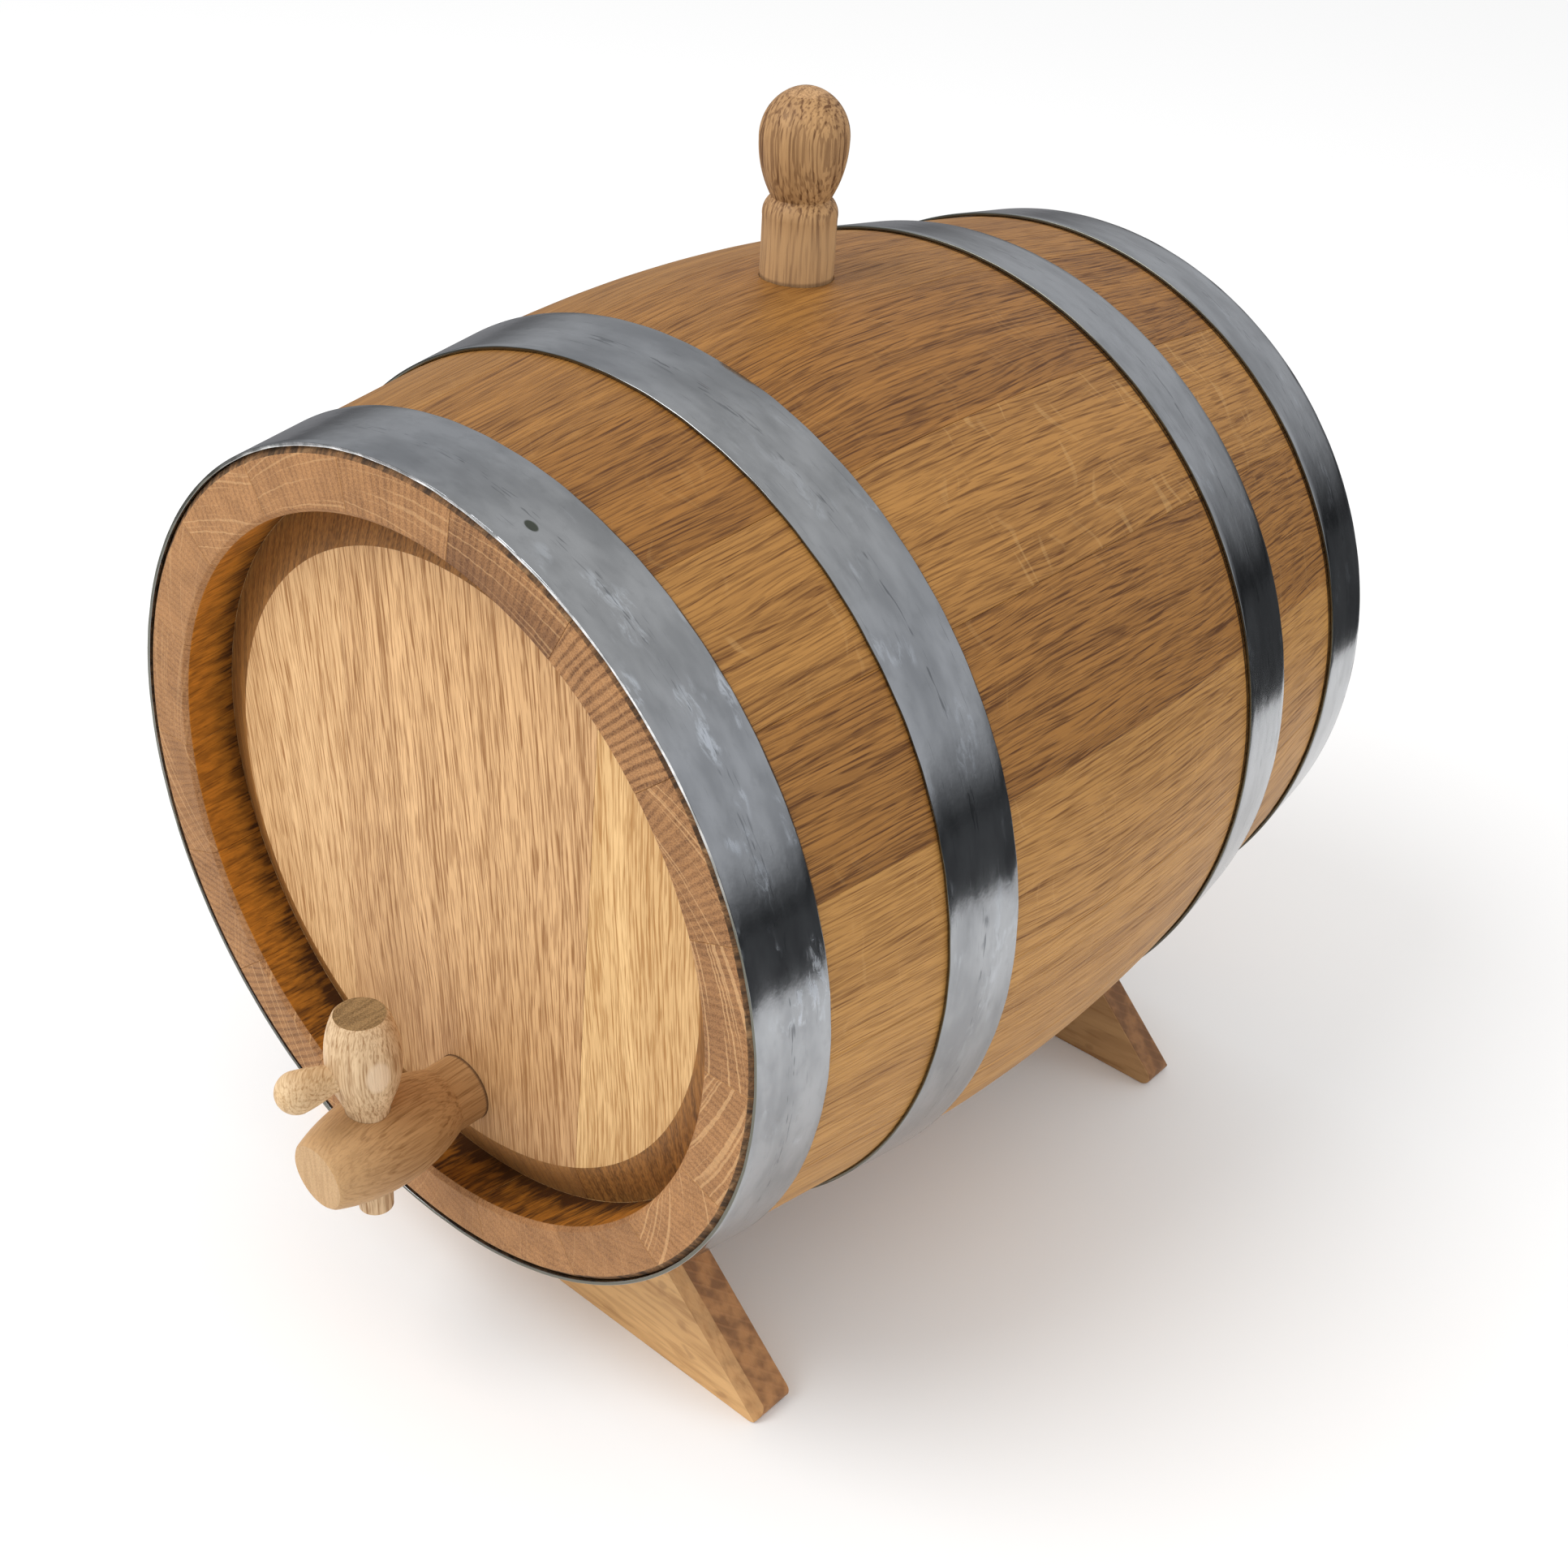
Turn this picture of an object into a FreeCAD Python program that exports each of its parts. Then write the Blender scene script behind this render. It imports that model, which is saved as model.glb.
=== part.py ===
import FreeCAD, Part
import math
import os
from FreeCAD import Placement, Rotation, Vector

# An oak cask lying on two cradle boards, with a turned bung on top and a wooden tap in the
# front head. Millimetres, +Z up, the tap at -Y. Shapes are built about the middle of the
# cask's axis, which runs along Y, and are moved to their height over the floor at the end.

# Cask shell
CASK_LENGTH = 301.0
END_RADIUS = 123.9
BILGE_RADIUS = 139.0
BENT_LENGTH = 135.0
STAVE_COUNT = 18
STAVE_THICKNESS = 17.3
CHIME_OUTER_CHAMFER = 1.4
CHIME_INNER_CHAMFER = 1.6

# Heads and the groove that holds them
HEAD_RECESS = 13.0
HEAD_THICKNESS = 16.0
HEAD_FLAT_RADIUS = 94.2
HEAD_BACK_FLAT_RADIUS = 102.0
TONGUE_INSET = 6.0
TONGUE_THICKNESS = 7.0
CROZE_DEPTH = 4.0
CROZE_CLEARANCE = 0.15
BOARD_JOINT_LEFT = -46.0
BOARD_JOINT_RIGHT = 53.0
FRONT_HEAD_TURN = 3.4
REAR_HEAD_TURN = -2.0
DOWEL_RADIUS = 3.0
DOWEL_LENGTH = 30.0
DOWEL_OFFSET = 45.0
DOWEL_CLEARANCE = 0.1

# Hoops
HOOP_THICKNESS = 1.1
HOOP_CLEARANCE = 0.1
HEAD_HOOP_WIDTH = 24.3
BILGE_HOOP_WIDTH = 25.2
BILGE_HOOP_FROM_END = 65.6
LAP_LENGTH = 30.0
LAP_ANGLE = 205.0
RIVET_SPACING = 12.0
RIVET_SHANK_RADIUS = 2.0
RIVET_HEAD_RADIUS = 3.6
RIVET_HEAD_HEIGHT = 1.5
RIVET_CLEARANCE = 0.05
DIMPLE_ANGLE = 18.3
DIMPLE_FROM_END = 9.0
DIMPLE_RADIUS = 2.3
DIMPLE_DEPTH = 0.7

# Bung
BUNG_FORWARD = 2.3
BUNG_RADIUS = 10.5
BUNG_TIP_RADIUS = 9.6
BUNG_DEPTH = 24.0
BUNG_SHOULDER_HEIGHT = 16.0
BUNG_NECK_HEIGHT = 21.5
BUNG_NECK_RADIUS = 8.4
BUNG_BALL_HEIGHT = 36.5
BUNG_BALL_RADIUS = 12.4
BUNG_HEIGHT = 50.4
BUNG_EDGE = 1.0
BUNG_CLEARANCE = 0.05

# Tap body
TAP_DROP = 79.4
TAP_FRONT_FROM_HEAD = 55.7
TAP_FACE_RADIUS = 11.0
TAP_FACE_BEVEL = 0.8
TAP_BELLY_RADIUS = 15.4
TAP_TAIL_RADIUS = 10.8
TAP_TAIL_TIP_RADIUS = 10.2
TAP_NECK_LENGTH = 9.5
TAP_TAIL_INSIDE = 12.0
TAP_BORE_RADIUS = 2.6
TAP_SEAT_CLEARANCE = 0.05

# Tap key, which turns in the body, and its peg
KEY_FROM_HEAD = 36.0
KEY_TOP_HEIGHT = 33.5
KEY_TOP_RADIUS = 8.1
KEY_WIDEST_DROP = 12.3
KEY_WIDEST_RADIUS = 11.0
KEY_WAIST_DROP = 28.5
KEY_WAIST_RADIUS = 8.4
KEY_PLUG_TOP_RADIUS = 6.6
KEY_PLUG_TIP_RADIUS = 5.2
KEY_PLUG_TIP_BELOW = 9.0
KEY_CLEARANCE = 0.08
KEY_BORE_RADIUS = 2.5
KEY_EDGE = 0.6
PEG_DROP = 18.9
PEG_RADIUS = 4.3
PEG_BALL_RADIUS = 6.3
PEG_BALL_REACH = 20.9
PEG_TURN = 12.0
PEG_END_INSET = 0.9
PEG_CLEARANCE = 0.03

# Cradle boards
AXIS_HEIGHT = 162.8
CRADLE_FROM_END = 32.4
CRADLE_THICKNESS = 15.0
CRADLE_HALF_WIDTH = 111.6
CRADLE_SIDE_SLOPE = 45.0
CRADLE_HEIGHT = 48.0
CRADLE_CHAMFER_ALONG = 3.7
CRADLE_CHAMFER_IN = 3.4
CRADLE_TOE_RADIUS = 3.5
CRADLE_SEAT_CLEARANCE = 0.1
SCREW_SHANK_RADIUS = 2.0
SCREW_HEAD_RADIUS = 4.0
SCREW_HEAD_HEIGHT = 3.0
SCREW_SINK = 10.0
SCREW_BITE = 12.0
SCREW_CLEARANCE = 0.1

HALF_LENGTH = CASK_LENGTH / 2
HALF_BENT = BENT_LENGTH / 2
STAVE_ANGLE = 360.0 / STAVE_COUNT
ORIGIN = Vector(0, 0, 0)
ALONG = Vector(0, 1, 0)
UP = Vector(0, 0, 1)


def end_slope():
    """Slope angle of a stave's straight ends: the bent middle and the ends share the whole drop."""
    drop = BILGE_RADIUS - END_RADIUS
    half_tan = 0.0
    for _ in range(30):
        half_tan = drop / (HALF_BENT + 2 * (HALF_LENGTH - HALF_BENT) / (1 - half_tan ** 2))
    return 2 * math.atan(half_tan)


END_SLOPE = end_slope()
BEND_RADIUS = HALF_BENT / math.sin(END_SLOPE)


def wood_radius(y):
    """Outer radius of the wooden shell at a distance y from the middle of the cask."""
    y = abs(y)
    if y <= HALF_BENT:
        return BILGE_RADIUS - BEND_RADIUS + math.sqrt(BEND_RADIUS ** 2 - y ** 2)
    tangent_radius = BILGE_RADIUS - BEND_RADIUS * (1 - math.cos(END_SLOPE))
    return tangent_radius - (y - HALF_BENT) * math.tan(END_SLOPE)


def inner_radius(y):
    return wood_radius(y) - STAVE_THICKNESS


TONGUE_Y = HALF_LENGTH - HEAD_RECESS - TONGUE_INSET
CROZE_RADIUS = inner_radius(TONGUE_Y - TONGUE_THICKNESS / 2) + CROZE_DEPTH
HEAD_FACE_Y = -(HALF_LENGTH - HEAD_RECESS)
KEY_Y = HEAD_FACE_Y - KEY_FROM_HEAD
TAP_FRONT_Y = HEAD_FACE_Y - TAP_FRONT_FROM_HEAD
KEY_TOP_Z = -TAP_DROP + TAP_BELLY_RADIUS + KEY_TOP_HEIGHT
PEG_Z = KEY_TOP_Z - PEG_DROP
CRADLE_Y = HALF_LENGTH - CRADLE_FROM_END - CRADLE_THICKNESS / 2

# The origin is under the middle of the whole object's box: the peg's end is its front.
FRONT_REACH = -KEY_Y + PEG_BALL_REACH * math.cos(math.radians(PEG_TURN)) + PEG_BALL_RADIUS
CASK_SHIFT = Vector(0, (FRONT_REACH - HALF_LENGTH) / 2, AXIS_HEIGHT)


def outline(*pieces):
    """Closed face from pieces in order: a tuple is a corner, a pair of tuples is an arc's middle and end."""
    edges = []
    here = Vector(*pieces[0])
    first = here
    for piece in pieces[1:]:
        if isinstance(piece[0], tuple):
            middle = Vector(*piece[0])
            end = Vector(*piece[1])
            edges.append(Part.Arc(here, middle, end).toShape())
        else:
            end = Vector(*piece)
            edges.append(Part.LineSegment(here, end).toShape())
        here = end
    if here.distanceToPoint(first) > 1e-6:
        edges.append(Part.LineSegment(here, first).toShape())
    return Part.Face(Part.Wire(edges))


def cylinder(radius, base, direction, length):
    return Part.makeCylinder(radius, length, base, direction)


def cone(radius_start, radius_end, base, direction, length):
    return Part.makeCone(radius_start, radius_end, length, base, direction)


def turned(shape, angle):
    """Copy of a shape turned about the cask's axis, from the top towards +X."""
    copy = shape.copy()
    copy.rotate(ORIGIN, ALONG, angle)
    return copy


def bung_cone(clearance, extra):
    """The bung's tapered plug, or with a clearance the hole for it, run on past both ends by extra."""
    taper = (BUNG_RADIUS - BUNG_TIP_RADIUS) / BUNG_DEPTH
    bottom = Vector(0, -BUNG_FORWARD, BILGE_RADIUS - BUNG_DEPTH - extra)
    return cone(BUNG_TIP_RADIUS + clearance - taper * extra, BUNG_RADIUS + clearance + taper * extra,
                bottom, UP, BUNG_DEPTH + 2 * extra)


def stave_section():
    """Section of a stave through the cask's axis: bent middle, straight ends, a croze near each end."""
    h = HALF_LENGTH
    b = HALF_BENT
    groove_in = TONGUE_Y - TONGUE_THICKNESS - CROZE_CLEARANCE
    groove_out = TONGUE_Y + CROZE_CLEARANCE

    def inner(y):
        return (0, y, inner_radius(y))

    def outer(y):
        return (0, y, wood_radius(y))

    return outline(
        (0, -h, END_RADIUS - CHIME_OUTER_CHAMFER), outer(-h + CHIME_OUTER_CHAMFER), outer(-b),
        (outer(0), outer(b)), outer(h - CHIME_OUTER_CHAMFER), (0, h, END_RADIUS - CHIME_OUTER_CHAMFER),
        (0, h, inner_radius(h) + CHIME_INNER_CHAMFER), inner(h - CHIME_INNER_CHAMFER), inner(groove_out),
        (0, groove_out, CROZE_RADIUS), (0, groove_in, CROZE_RADIUS), inner(groove_in), inner(b),
        (inner(0), inner(-b)), inner(-groove_in), (0, -groove_in, CROZE_RADIUS),
        (0, -groove_out, CROZE_RADIUS), inner(-groove_out), inner(-h + CHIME_INNER_CHAMFER),
        (0, -h, inner_radius(h) + CHIME_INNER_CHAMFER))


def make_staves():
    """The shell, one wedge per stave, starting with the bung stave on top."""
    wedge = stave_section().revolve(ORIGIN, ALONG, STAVE_ANGLE)
    wedge.rotate(ORIGIN, ALONG, -STAVE_ANGLE / 2)
    bung_hole = bung_cone(BUNG_CLEARANCE, STAVE_THICKNESS)
    pilots = [screw_solid(side, SCREW_CLEARANCE) for side in (-1, 1)]
    staves = {}
    for index in range(STAVE_COUNT):
        stave = turned(wedge, index * STAVE_ANGLE)
        if index == 0:
            stave = stave.cut(bung_hole)
        for pilot in pilots:
            if stave.BoundBox.intersect(pilot.BoundBox) and index != 0:
                stave = stave.cut(pilot)
        staves["stave_%02d" % (index + 1)] = stave
    return staves


def head_disc():
    """A front head before it is cut into boards: flat face, bevels, and a thin tongue for the croze."""
    face = HEAD_FACE_Y
    tongue_front = -TONGUE_Y
    tongue_back = tongue_front + TONGUE_THICKNESS
    back = face + HEAD_THICKNESS
    rim = CROZE_RADIUS - 2 * CROZE_CLEARANCE
    wall_front = inner_radius(tongue_front) - CROZE_CLEARANCE
    wall_back = inner_radius(tongue_back) - CROZE_CLEARANCE
    profile = outline((0, face, 0), (0, face, HEAD_FLAT_RADIUS), (0, tongue_front, wall_front),
                      (0, tongue_front, rim), (0, tongue_back, rim), (0, tongue_back, wall_back),
                      (0, back, HEAD_BACK_FLAT_RADIUS), (0, back, 0))
    return profile.revolve(ORIGIN, ALONG, 360)


def head_dowel(joint_x, height, radius, length):
    middle_y = HEAD_FACE_Y + HEAD_THICKNESS / 2
    return cylinder(radius, Vector(joint_x - length / 2, middle_y, height), Vector(1, 0, 0), length)


def make_head(name, turn, at_front):
    """Three boards, edge to edge, with two hidden dowels across each joint."""
    disc = head_disc()
    reach = 2 * BILGE_RADIUS
    edges = (-reach, BOARD_JOINT_LEFT, BOARD_JOINT_RIGHT, reach)
    seats = [(x, z) for x in edges[1:3] for z in (-DOWEL_OFFSET, DOWEL_OFFSET)]
    dowels = [head_dowel(x, z, DOWEL_RADIUS, DOWEL_LENGTH) for x, z in seats]
    holes = [head_dowel(x, z, DOWEL_RADIUS + DOWEL_CLEARANCE, DOWEL_LENGTH + 2.0) for x, z in seats]
    nodes = {}
    for side, low, high in zip(("left", "middle", "right"), edges[:3], edges[1:]):
        slab = Part.makeBox(high - low, reach, 2 * reach, Vector(low, HEAD_FACE_Y - reach / 2, -reach))
        board = turned(disc.common(slab).cut(Part.makeCompound(holes)), turn)
        if at_front:
            board = board.cut(tap_tail(TAP_SEAT_CLEARANCE))
        nodes["%s_head_%s_board" % (name, side)] = board
    nodes["%s_head_dowels" % name] = turned(Part.makeCompound(dowels), turn)
    if at_front:
        return nodes
    half_turn = Placement(ORIGIN, Rotation(UP, 180))
    return {key: shape.transformGeometry(half_turn.toMatrix()) for key, shape in nodes.items()}


def hoop_band(y_wide, y_narrow, inside):
    """Section of a flat strip laid on the shell's slope, raised off it by a distance."""
    lift = inside / math.cos(END_SLOPE)
    thick = HOOP_THICKNESS / math.cos(END_SLOPE)
    start = wood_radius(y_narrow)
    end = start + abs(y_narrow - y_wide) * math.tan(END_SLOPE)
    return outline((0, y_narrow, start + lift), (0, y_wide, end + lift),
                   (0, y_wide, end + lift + thick), (0, y_narrow, start + lift + thick))


def rivet_places(y_wide, y_narrow):
    """Foot and outward direction of each rivet on a lap, one beside the other across the strip."""
    middle = (y_wide + y_narrow) / 2
    lean = math.copysign(END_SLOPE, y_narrow)
    outward = Vector(0, math.sin(lean), math.cos(lean))
    across = Vector(0, math.cos(lean), -math.sin(lean))
    foot = Vector(0, middle, wood_radius(y_narrow) + abs(y_narrow - middle) * math.tan(END_SLOPE))
    foot += outward * HOOP_CLEARANCE
    return [(foot + across * (side * RIVET_SPACING / 2), outward) for side in (-1, 1)]


def make_rivet(foot, outward):
    """A plain shank through both layers of the lap, with a low domed head outside."""
    seat = foot + outward * (2 * HOOP_THICKNESS + RIVET_CLEARANCE)
    shank = cylinder(RIVET_SHANK_RADIUS, foot, outward, (seat - foot).Length + RIVET_HEAD_HEIGHT / 2)
    ball = (RIVET_HEAD_RADIUS ** 2 + RIVET_HEAD_HEIGHT ** 2) / (2 * RIVET_HEAD_HEIGHT)
    dome = Part.makeSphere(ball, seat + outward * (RIVET_HEAD_HEIGHT - ball))
    dome = dome.common(cylinder(RIVET_HEAD_RADIUS, seat, outward, 2 * RIVET_HEAD_HEIGHT))
    return shank.fuse(dome).removeSplitter()


def make_hoops():
    """Four riveted strips: at each end a head hoop flush with the chime and a bilge hoop."""
    hoops = {}
    rivets = []
    lap_angle = math.degrees(LAP_LENGTH / END_RADIUS)
    for end, side in (("front", -1), ("rear", 1)):
        head_edges = (side * (HALF_LENGTH - HEAD_HOOP_WIDTH), side * HALF_LENGTH)
        bilge_narrow = HALF_LENGTH - BILGE_HOOP_FROM_END
        bilge_edges = (side * (bilge_narrow - BILGE_HOOP_WIDTH), side * bilge_narrow)
        for kind, (y_wide, y_narrow) in (("head", head_edges), ("bilge", bilge_edges)):
            ring = hoop_band(y_wide, y_narrow, HOOP_CLEARANCE).revolve(ORIGIN, ALONG, 360)
            lap = hoop_band(y_wide, y_narrow, HOOP_CLEARANCE + HOOP_THICKNESS).revolve(ORIGIN, ALONG, lap_angle)
            lap = turned(lap, LAP_ANGLE - lap_angle / 2)
            hoop = ring.fuse(lap).removeSplitter()
            for foot, outward in rivet_places(y_wide, y_narrow):
                start = foot - outward * HOOP_THICKNESS
                hole = cylinder(RIVET_SHANK_RADIUS + RIVET_CLEARANCE, start, outward, 5 * HOOP_THICKNESS)
                hoop = hoop.cut(turned(hole, LAP_ANGLE))
                rivets.append(turned(make_rivet(foot, outward), LAP_ANGLE))
            hoops["%s_%s_hoop" % (end, kind)] = hoop
    hoops["front_head_hoop"] = hoops["front_head_hoop"].cut(hoop_dimple())
    hoops["hoop_rivets"] = Part.makeCompound(rivets)
    return hoops


def hoop_dimple():
    """Round punch mark in the face of the front head hoop."""
    y = -(HALF_LENGTH - DIMPLE_FROM_END)
    surface = wood_radius(y) + (HOOP_CLEARANCE + HOOP_THICKNESS) / math.cos(END_SLOPE)
    ball = (DIMPLE_RADIUS ** 2 + DIMPLE_DEPTH ** 2) / (2 * DIMPLE_DEPTH)
    return turned(Part.makeSphere(ball, Vector(0, y, surface + ball - DIMPLE_DEPTH)), DIMPLE_ANGLE)


def make_bung():
    """Turned stopper: tapered plug, straight body, waist and a round knob to pull it by."""
    y = -BUNG_FORWARD

    def point(radius, height):
        return (radius, y, BILGE_RADIUS + height)

    ball = BUNG_BALL_RADIUS
    crown = BUNG_HEIGHT - BUNG_BALL_HEIGHT
    fall = BUNG_BALL_HEIGHT - BUNG_NECK_HEIGHT
    step = BUNG_RADIUS - BUNG_NECK_RADIUS
    profile = outline(
        point(0, BUNG_HEIGHT),
        (point(ball * math.sin(math.pi / 4), BUNG_BALL_HEIGHT + crown * math.cos(math.pi / 4)),
         point(ball, BUNG_BALL_HEIGHT)),
        (point(BUNG_NECK_RADIUS + 0.68 * (ball - BUNG_NECK_RADIUS), BUNG_BALL_HEIGHT - 0.58 * fall),
         point(BUNG_NECK_RADIUS, BUNG_NECK_HEIGHT)),
        (point(BUNG_NECK_RADIUS + 0.75 * step, BUNG_NECK_HEIGHT - 0.35 * (BUNG_NECK_HEIGHT - BUNG_SHOULDER_HEIGHT)),
         point(BUNG_RADIUS, BUNG_SHOULDER_HEIGHT)),
        point(BUNG_RADIUS, 0), point(BUNG_TIP_RADIUS, BUNG_EDGE - BUNG_DEPTH),
        point(BUNG_TIP_RADIUS - BUNG_EDGE, -BUNG_DEPTH), point(0, -BUNG_DEPTH))
    return profile.revolve(Vector(0, y, 0), UP, 360)


def tap_tail(clearance):
    """The tap's tapered tail, or with a clearance the hole that it is driven into."""
    start = Vector(0, HEAD_FACE_Y, -TAP_DROP)
    return cone(TAP_TAIL_RADIUS + clearance, TAP_TAIL_TIP_RADIUS + clearance, start, ALONG,
                HEAD_THICKNESS + TAP_TAIL_INSIDE)


def key_plug_radius(z):
    """Radius of the key's tapered plug at a height z, from the top of the tap's belly to the tip."""
    top = -TAP_DROP + TAP_BELLY_RADIUS
    tip = -TAP_DROP - TAP_BELLY_RADIUS - KEY_PLUG_TIP_BELOW
    return KEY_PLUG_TIP_RADIUS + (KEY_PLUG_TOP_RADIUS - KEY_PLUG_TIP_RADIUS) * (z - tip) / (top - tip)


def make_tap_body():
    """Turned body with a belly for the key's seat, a bored tail, and a solid nose."""
    nose = TAP_FRONT_Y + TAP_FACE_BEVEL
    neck = HEAD_FACE_Y - TAP_NECK_LENGTH
    tip = HEAD_FACE_Y + HEAD_THICKNESS + TAP_TAIL_INSIDE

    def point(y, radius):
        return (0, y, radius - TAP_DROP)

    profile = outline(
        point(TAP_FRONT_Y, 0), point(TAP_FRONT_Y, TAP_FACE_RADIUS - TAP_FACE_BEVEL), point(nose, TAP_FACE_RADIUS),
        (point((nose + neck) / 2, TAP_BELLY_RADIUS), point(neck, TAP_TAIL_RADIUS)),
        point(HEAD_FACE_Y, TAP_TAIL_RADIUS), point(tip, TAP_TAIL_TIP_RADIUS), point(tip, 0))
    body = profile.revolve(Vector(0, 0, -TAP_DROP), ALONG, 360)
    low = -TAP_DROP - 1.5 * TAP_BELLY_RADIUS
    high = -TAP_DROP + 1.5 * TAP_BELLY_RADIUS
    seat = cone(key_plug_radius(low) + KEY_CLEARANCE, key_plug_radius(high) + KEY_CLEARANCE,
                Vector(0, KEY_Y, low), UP, high - low)
    bore = cylinder(TAP_BORE_RADIUS, Vector(0, KEY_Y, -TAP_DROP), ALONG, tip - KEY_Y + 1.0)
    return body.cut(seat).cut(bore)


def peg_direction():
    """The peg points forward, turned a little to the left; the key's port is square to it."""
    turn = math.radians(PEG_TURN)
    return Vector(-math.sin(turn), -math.cos(turn), 0)


def make_tap_key():
    """Turned key: barrel-shaped head, waist, and a tapered plug bored from below to a side port."""
    def point(radius, z):
        return (radius, KEY_Y, z)

    belly_top = -TAP_DROP + TAP_BELLY_RADIUS
    tip = -TAP_DROP - TAP_BELLY_RADIUS - KEY_PLUG_TIP_BELOW
    profile = outline(
        point(0, KEY_TOP_Z), point(KEY_TOP_RADIUS - KEY_EDGE, KEY_TOP_Z), point(KEY_TOP_RADIUS, KEY_TOP_Z - KEY_EDGE),
        (point(KEY_WIDEST_RADIUS, KEY_TOP_Z - KEY_WIDEST_DROP), point(KEY_WAIST_RADIUS, KEY_TOP_Z - KEY_WAIST_DROP)),
        point(key_plug_radius(belly_top), belly_top),
        point(KEY_PLUG_TIP_RADIUS, tip + KEY_EDGE), point(KEY_PLUG_TIP_RADIUS - KEY_EDGE, tip), point(0, tip))
    key = profile.revolve(Vector(0, KEY_Y, 0), UP, 360)
    centre = Vector(0, KEY_Y, -TAP_DROP)
    bore = cylinder(KEY_BORE_RADIUS, Vector(0, KEY_Y, tip - 1.0), UP, -TAP_DROP + KEY_BORE_RADIUS - tip + 1.0)
    port = cylinder(KEY_BORE_RADIUS, centre, peg_direction().cross(UP), 2 * KEY_PLUG_TOP_RADIUS)
    return key.cut(bore).cut(port).cut(peg_shape(PEG_CLEARANCE))


def peg_shape(clearance):
    """The peg through the key's head: a thin shank that swells to a round end. With a clearance, its hole."""
    back = KEY_WIDEST_RADIUS - PEG_END_INSET
    shank_end = KEY_WIDEST_RADIUS
    radius = PEG_RADIUS + clearance
    if clearance > 0:
        return cylinder(radius, Vector(0, KEY_Y, PEG_Z) - peg_direction() * 2 * KEY_WIDEST_RADIUS,
                        peg_direction(), 4 * KEY_WIDEST_RADIUS)

    def point(along, across):
        return (along, 0, across)

    swell = (shank_end + PEG_BALL_REACH) / 2
    profile = outline(
        point(-back, 0), point(-back, radius), point(shank_end, radius),
        (point(swell, (PEG_RADIUS + PEG_BALL_RADIUS) / 2 + 0.25), point(PEG_BALL_REACH, PEG_BALL_RADIUS)),
        (point(PEG_BALL_REACH + PEG_BALL_RADIUS * math.sin(math.pi / 4), PEG_BALL_RADIUS * math.cos(math.pi / 4)),
         point(PEG_BALL_REACH + PEG_BALL_RADIUS, 0)))
    peg = profile.revolve(ORIGIN, Vector(1, 0, 0), 360)
    peg.Placement = Placement(Vector(0, KEY_Y, PEG_Z), Rotation(Vector(1, 0, 0), peg_direction()))
    return peg


def screw_solid(side, clearance):
    """Countersunk screw up through a cradle board into the lowest stave. With a clearance, its hole."""
    y = side * CRADLE_Y
    head = Vector(0, y, -AXIS_HEIGHT + SCREW_SINK)
    top = -wood_radius(CRADLE_Y) + SCREW_BITE + clearance
    shank = cylinder(SCREW_SHANK_RADIUS + clearance, head, UP, top - head.z)
    sink = cone(SCREW_HEAD_RADIUS + clearance, SCREW_SHANK_RADIUS + clearance, head, UP, SCREW_HEAD_HEIGHT)
    return shank.fuse(sink).removeSplitter()


def make_cradle(side):
    """Board with sloping ends, hollowed to the cask's taper, its outward end edges bevelled."""
    lean = math.tan(math.radians(90 - CRADLE_SIDE_SLOPE))
    top_half = CRADLE_HALF_WIDTH - CRADLE_HEIGHT * lean
    floor = -AXIS_HEIGHT
    outside = side * (CRADLE_Y + CRADLE_THICKNESS / 2)
    inside = side * (CRADLE_Y - CRADLE_THICKNESS / 2)
    blank = outline((-CRADLE_HALF_WIDTH, inside, floor), (CRADLE_HALF_WIDTH, inside, floor),
                    (top_half, inside, floor + CRADLE_HEIGHT), (-top_half, inside, floor + CRADLE_HEIGHT))
    board = blank.extrude(Vector(0, outside - inside, 0))
    toes = [edge for edge in board.Edges
            if abs(edge.BoundBox.ZMin - floor) < 0.01 and edge.BoundBox.ZLength < 0.01
            and edge.BoundBox.XLength < 0.01]
    board = board.makeFillet(CRADLE_TOE_RADIUS, toes)
    for hand in (-1, 1):
        foot = Vector(hand * CRADLE_HALF_WIDTH, 0, floor)
        rise = Vector(-hand * lean, 0, 1) * (CRADLE_HEIGHT * 1.2)
        outward = Vector(hand, 0, lean).normalize()
        corner = foot - rise * 0.1 + Vector(0, outside, 0)
        bevel = outline(tuple(corner - outward * CRADLE_CHAMFER_IN),
                        tuple(corner + outward * 1.0),
                        tuple(corner + outward * 1.0 - Vector(0, side * CRADLE_CHAMFER_ALONG * 1.3, 0)),
                        tuple(corner - Vector(0, side * CRADLE_CHAMFER_ALONG, 0)))
        board = board.cut(bevel.extrude(rise))
    seat_narrow = wood_radius(outside) + CRADLE_SEAT_CLEARANCE
    seat_wide = wood_radius(inside) + CRADLE_SEAT_CLEARANCE
    slope = (seat_wide - seat_narrow) / CRADLE_THICKNESS
    seat = cone(seat_narrow - slope, seat_wide + slope, Vector(0, outside + side, 0), Vector(0, -side, 0),
                CRADLE_THICKNESS + 2.0)
    sink = cylinder(SCREW_HEAD_RADIUS + SCREW_CLEARANCE, Vector(0, side * CRADLE_Y, floor - 1.0), UP, SCREW_SINK + 1.0)
    return board.cut(seat).cut(sink).cut(screw_solid(side, SCREW_CLEARANCE))


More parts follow.
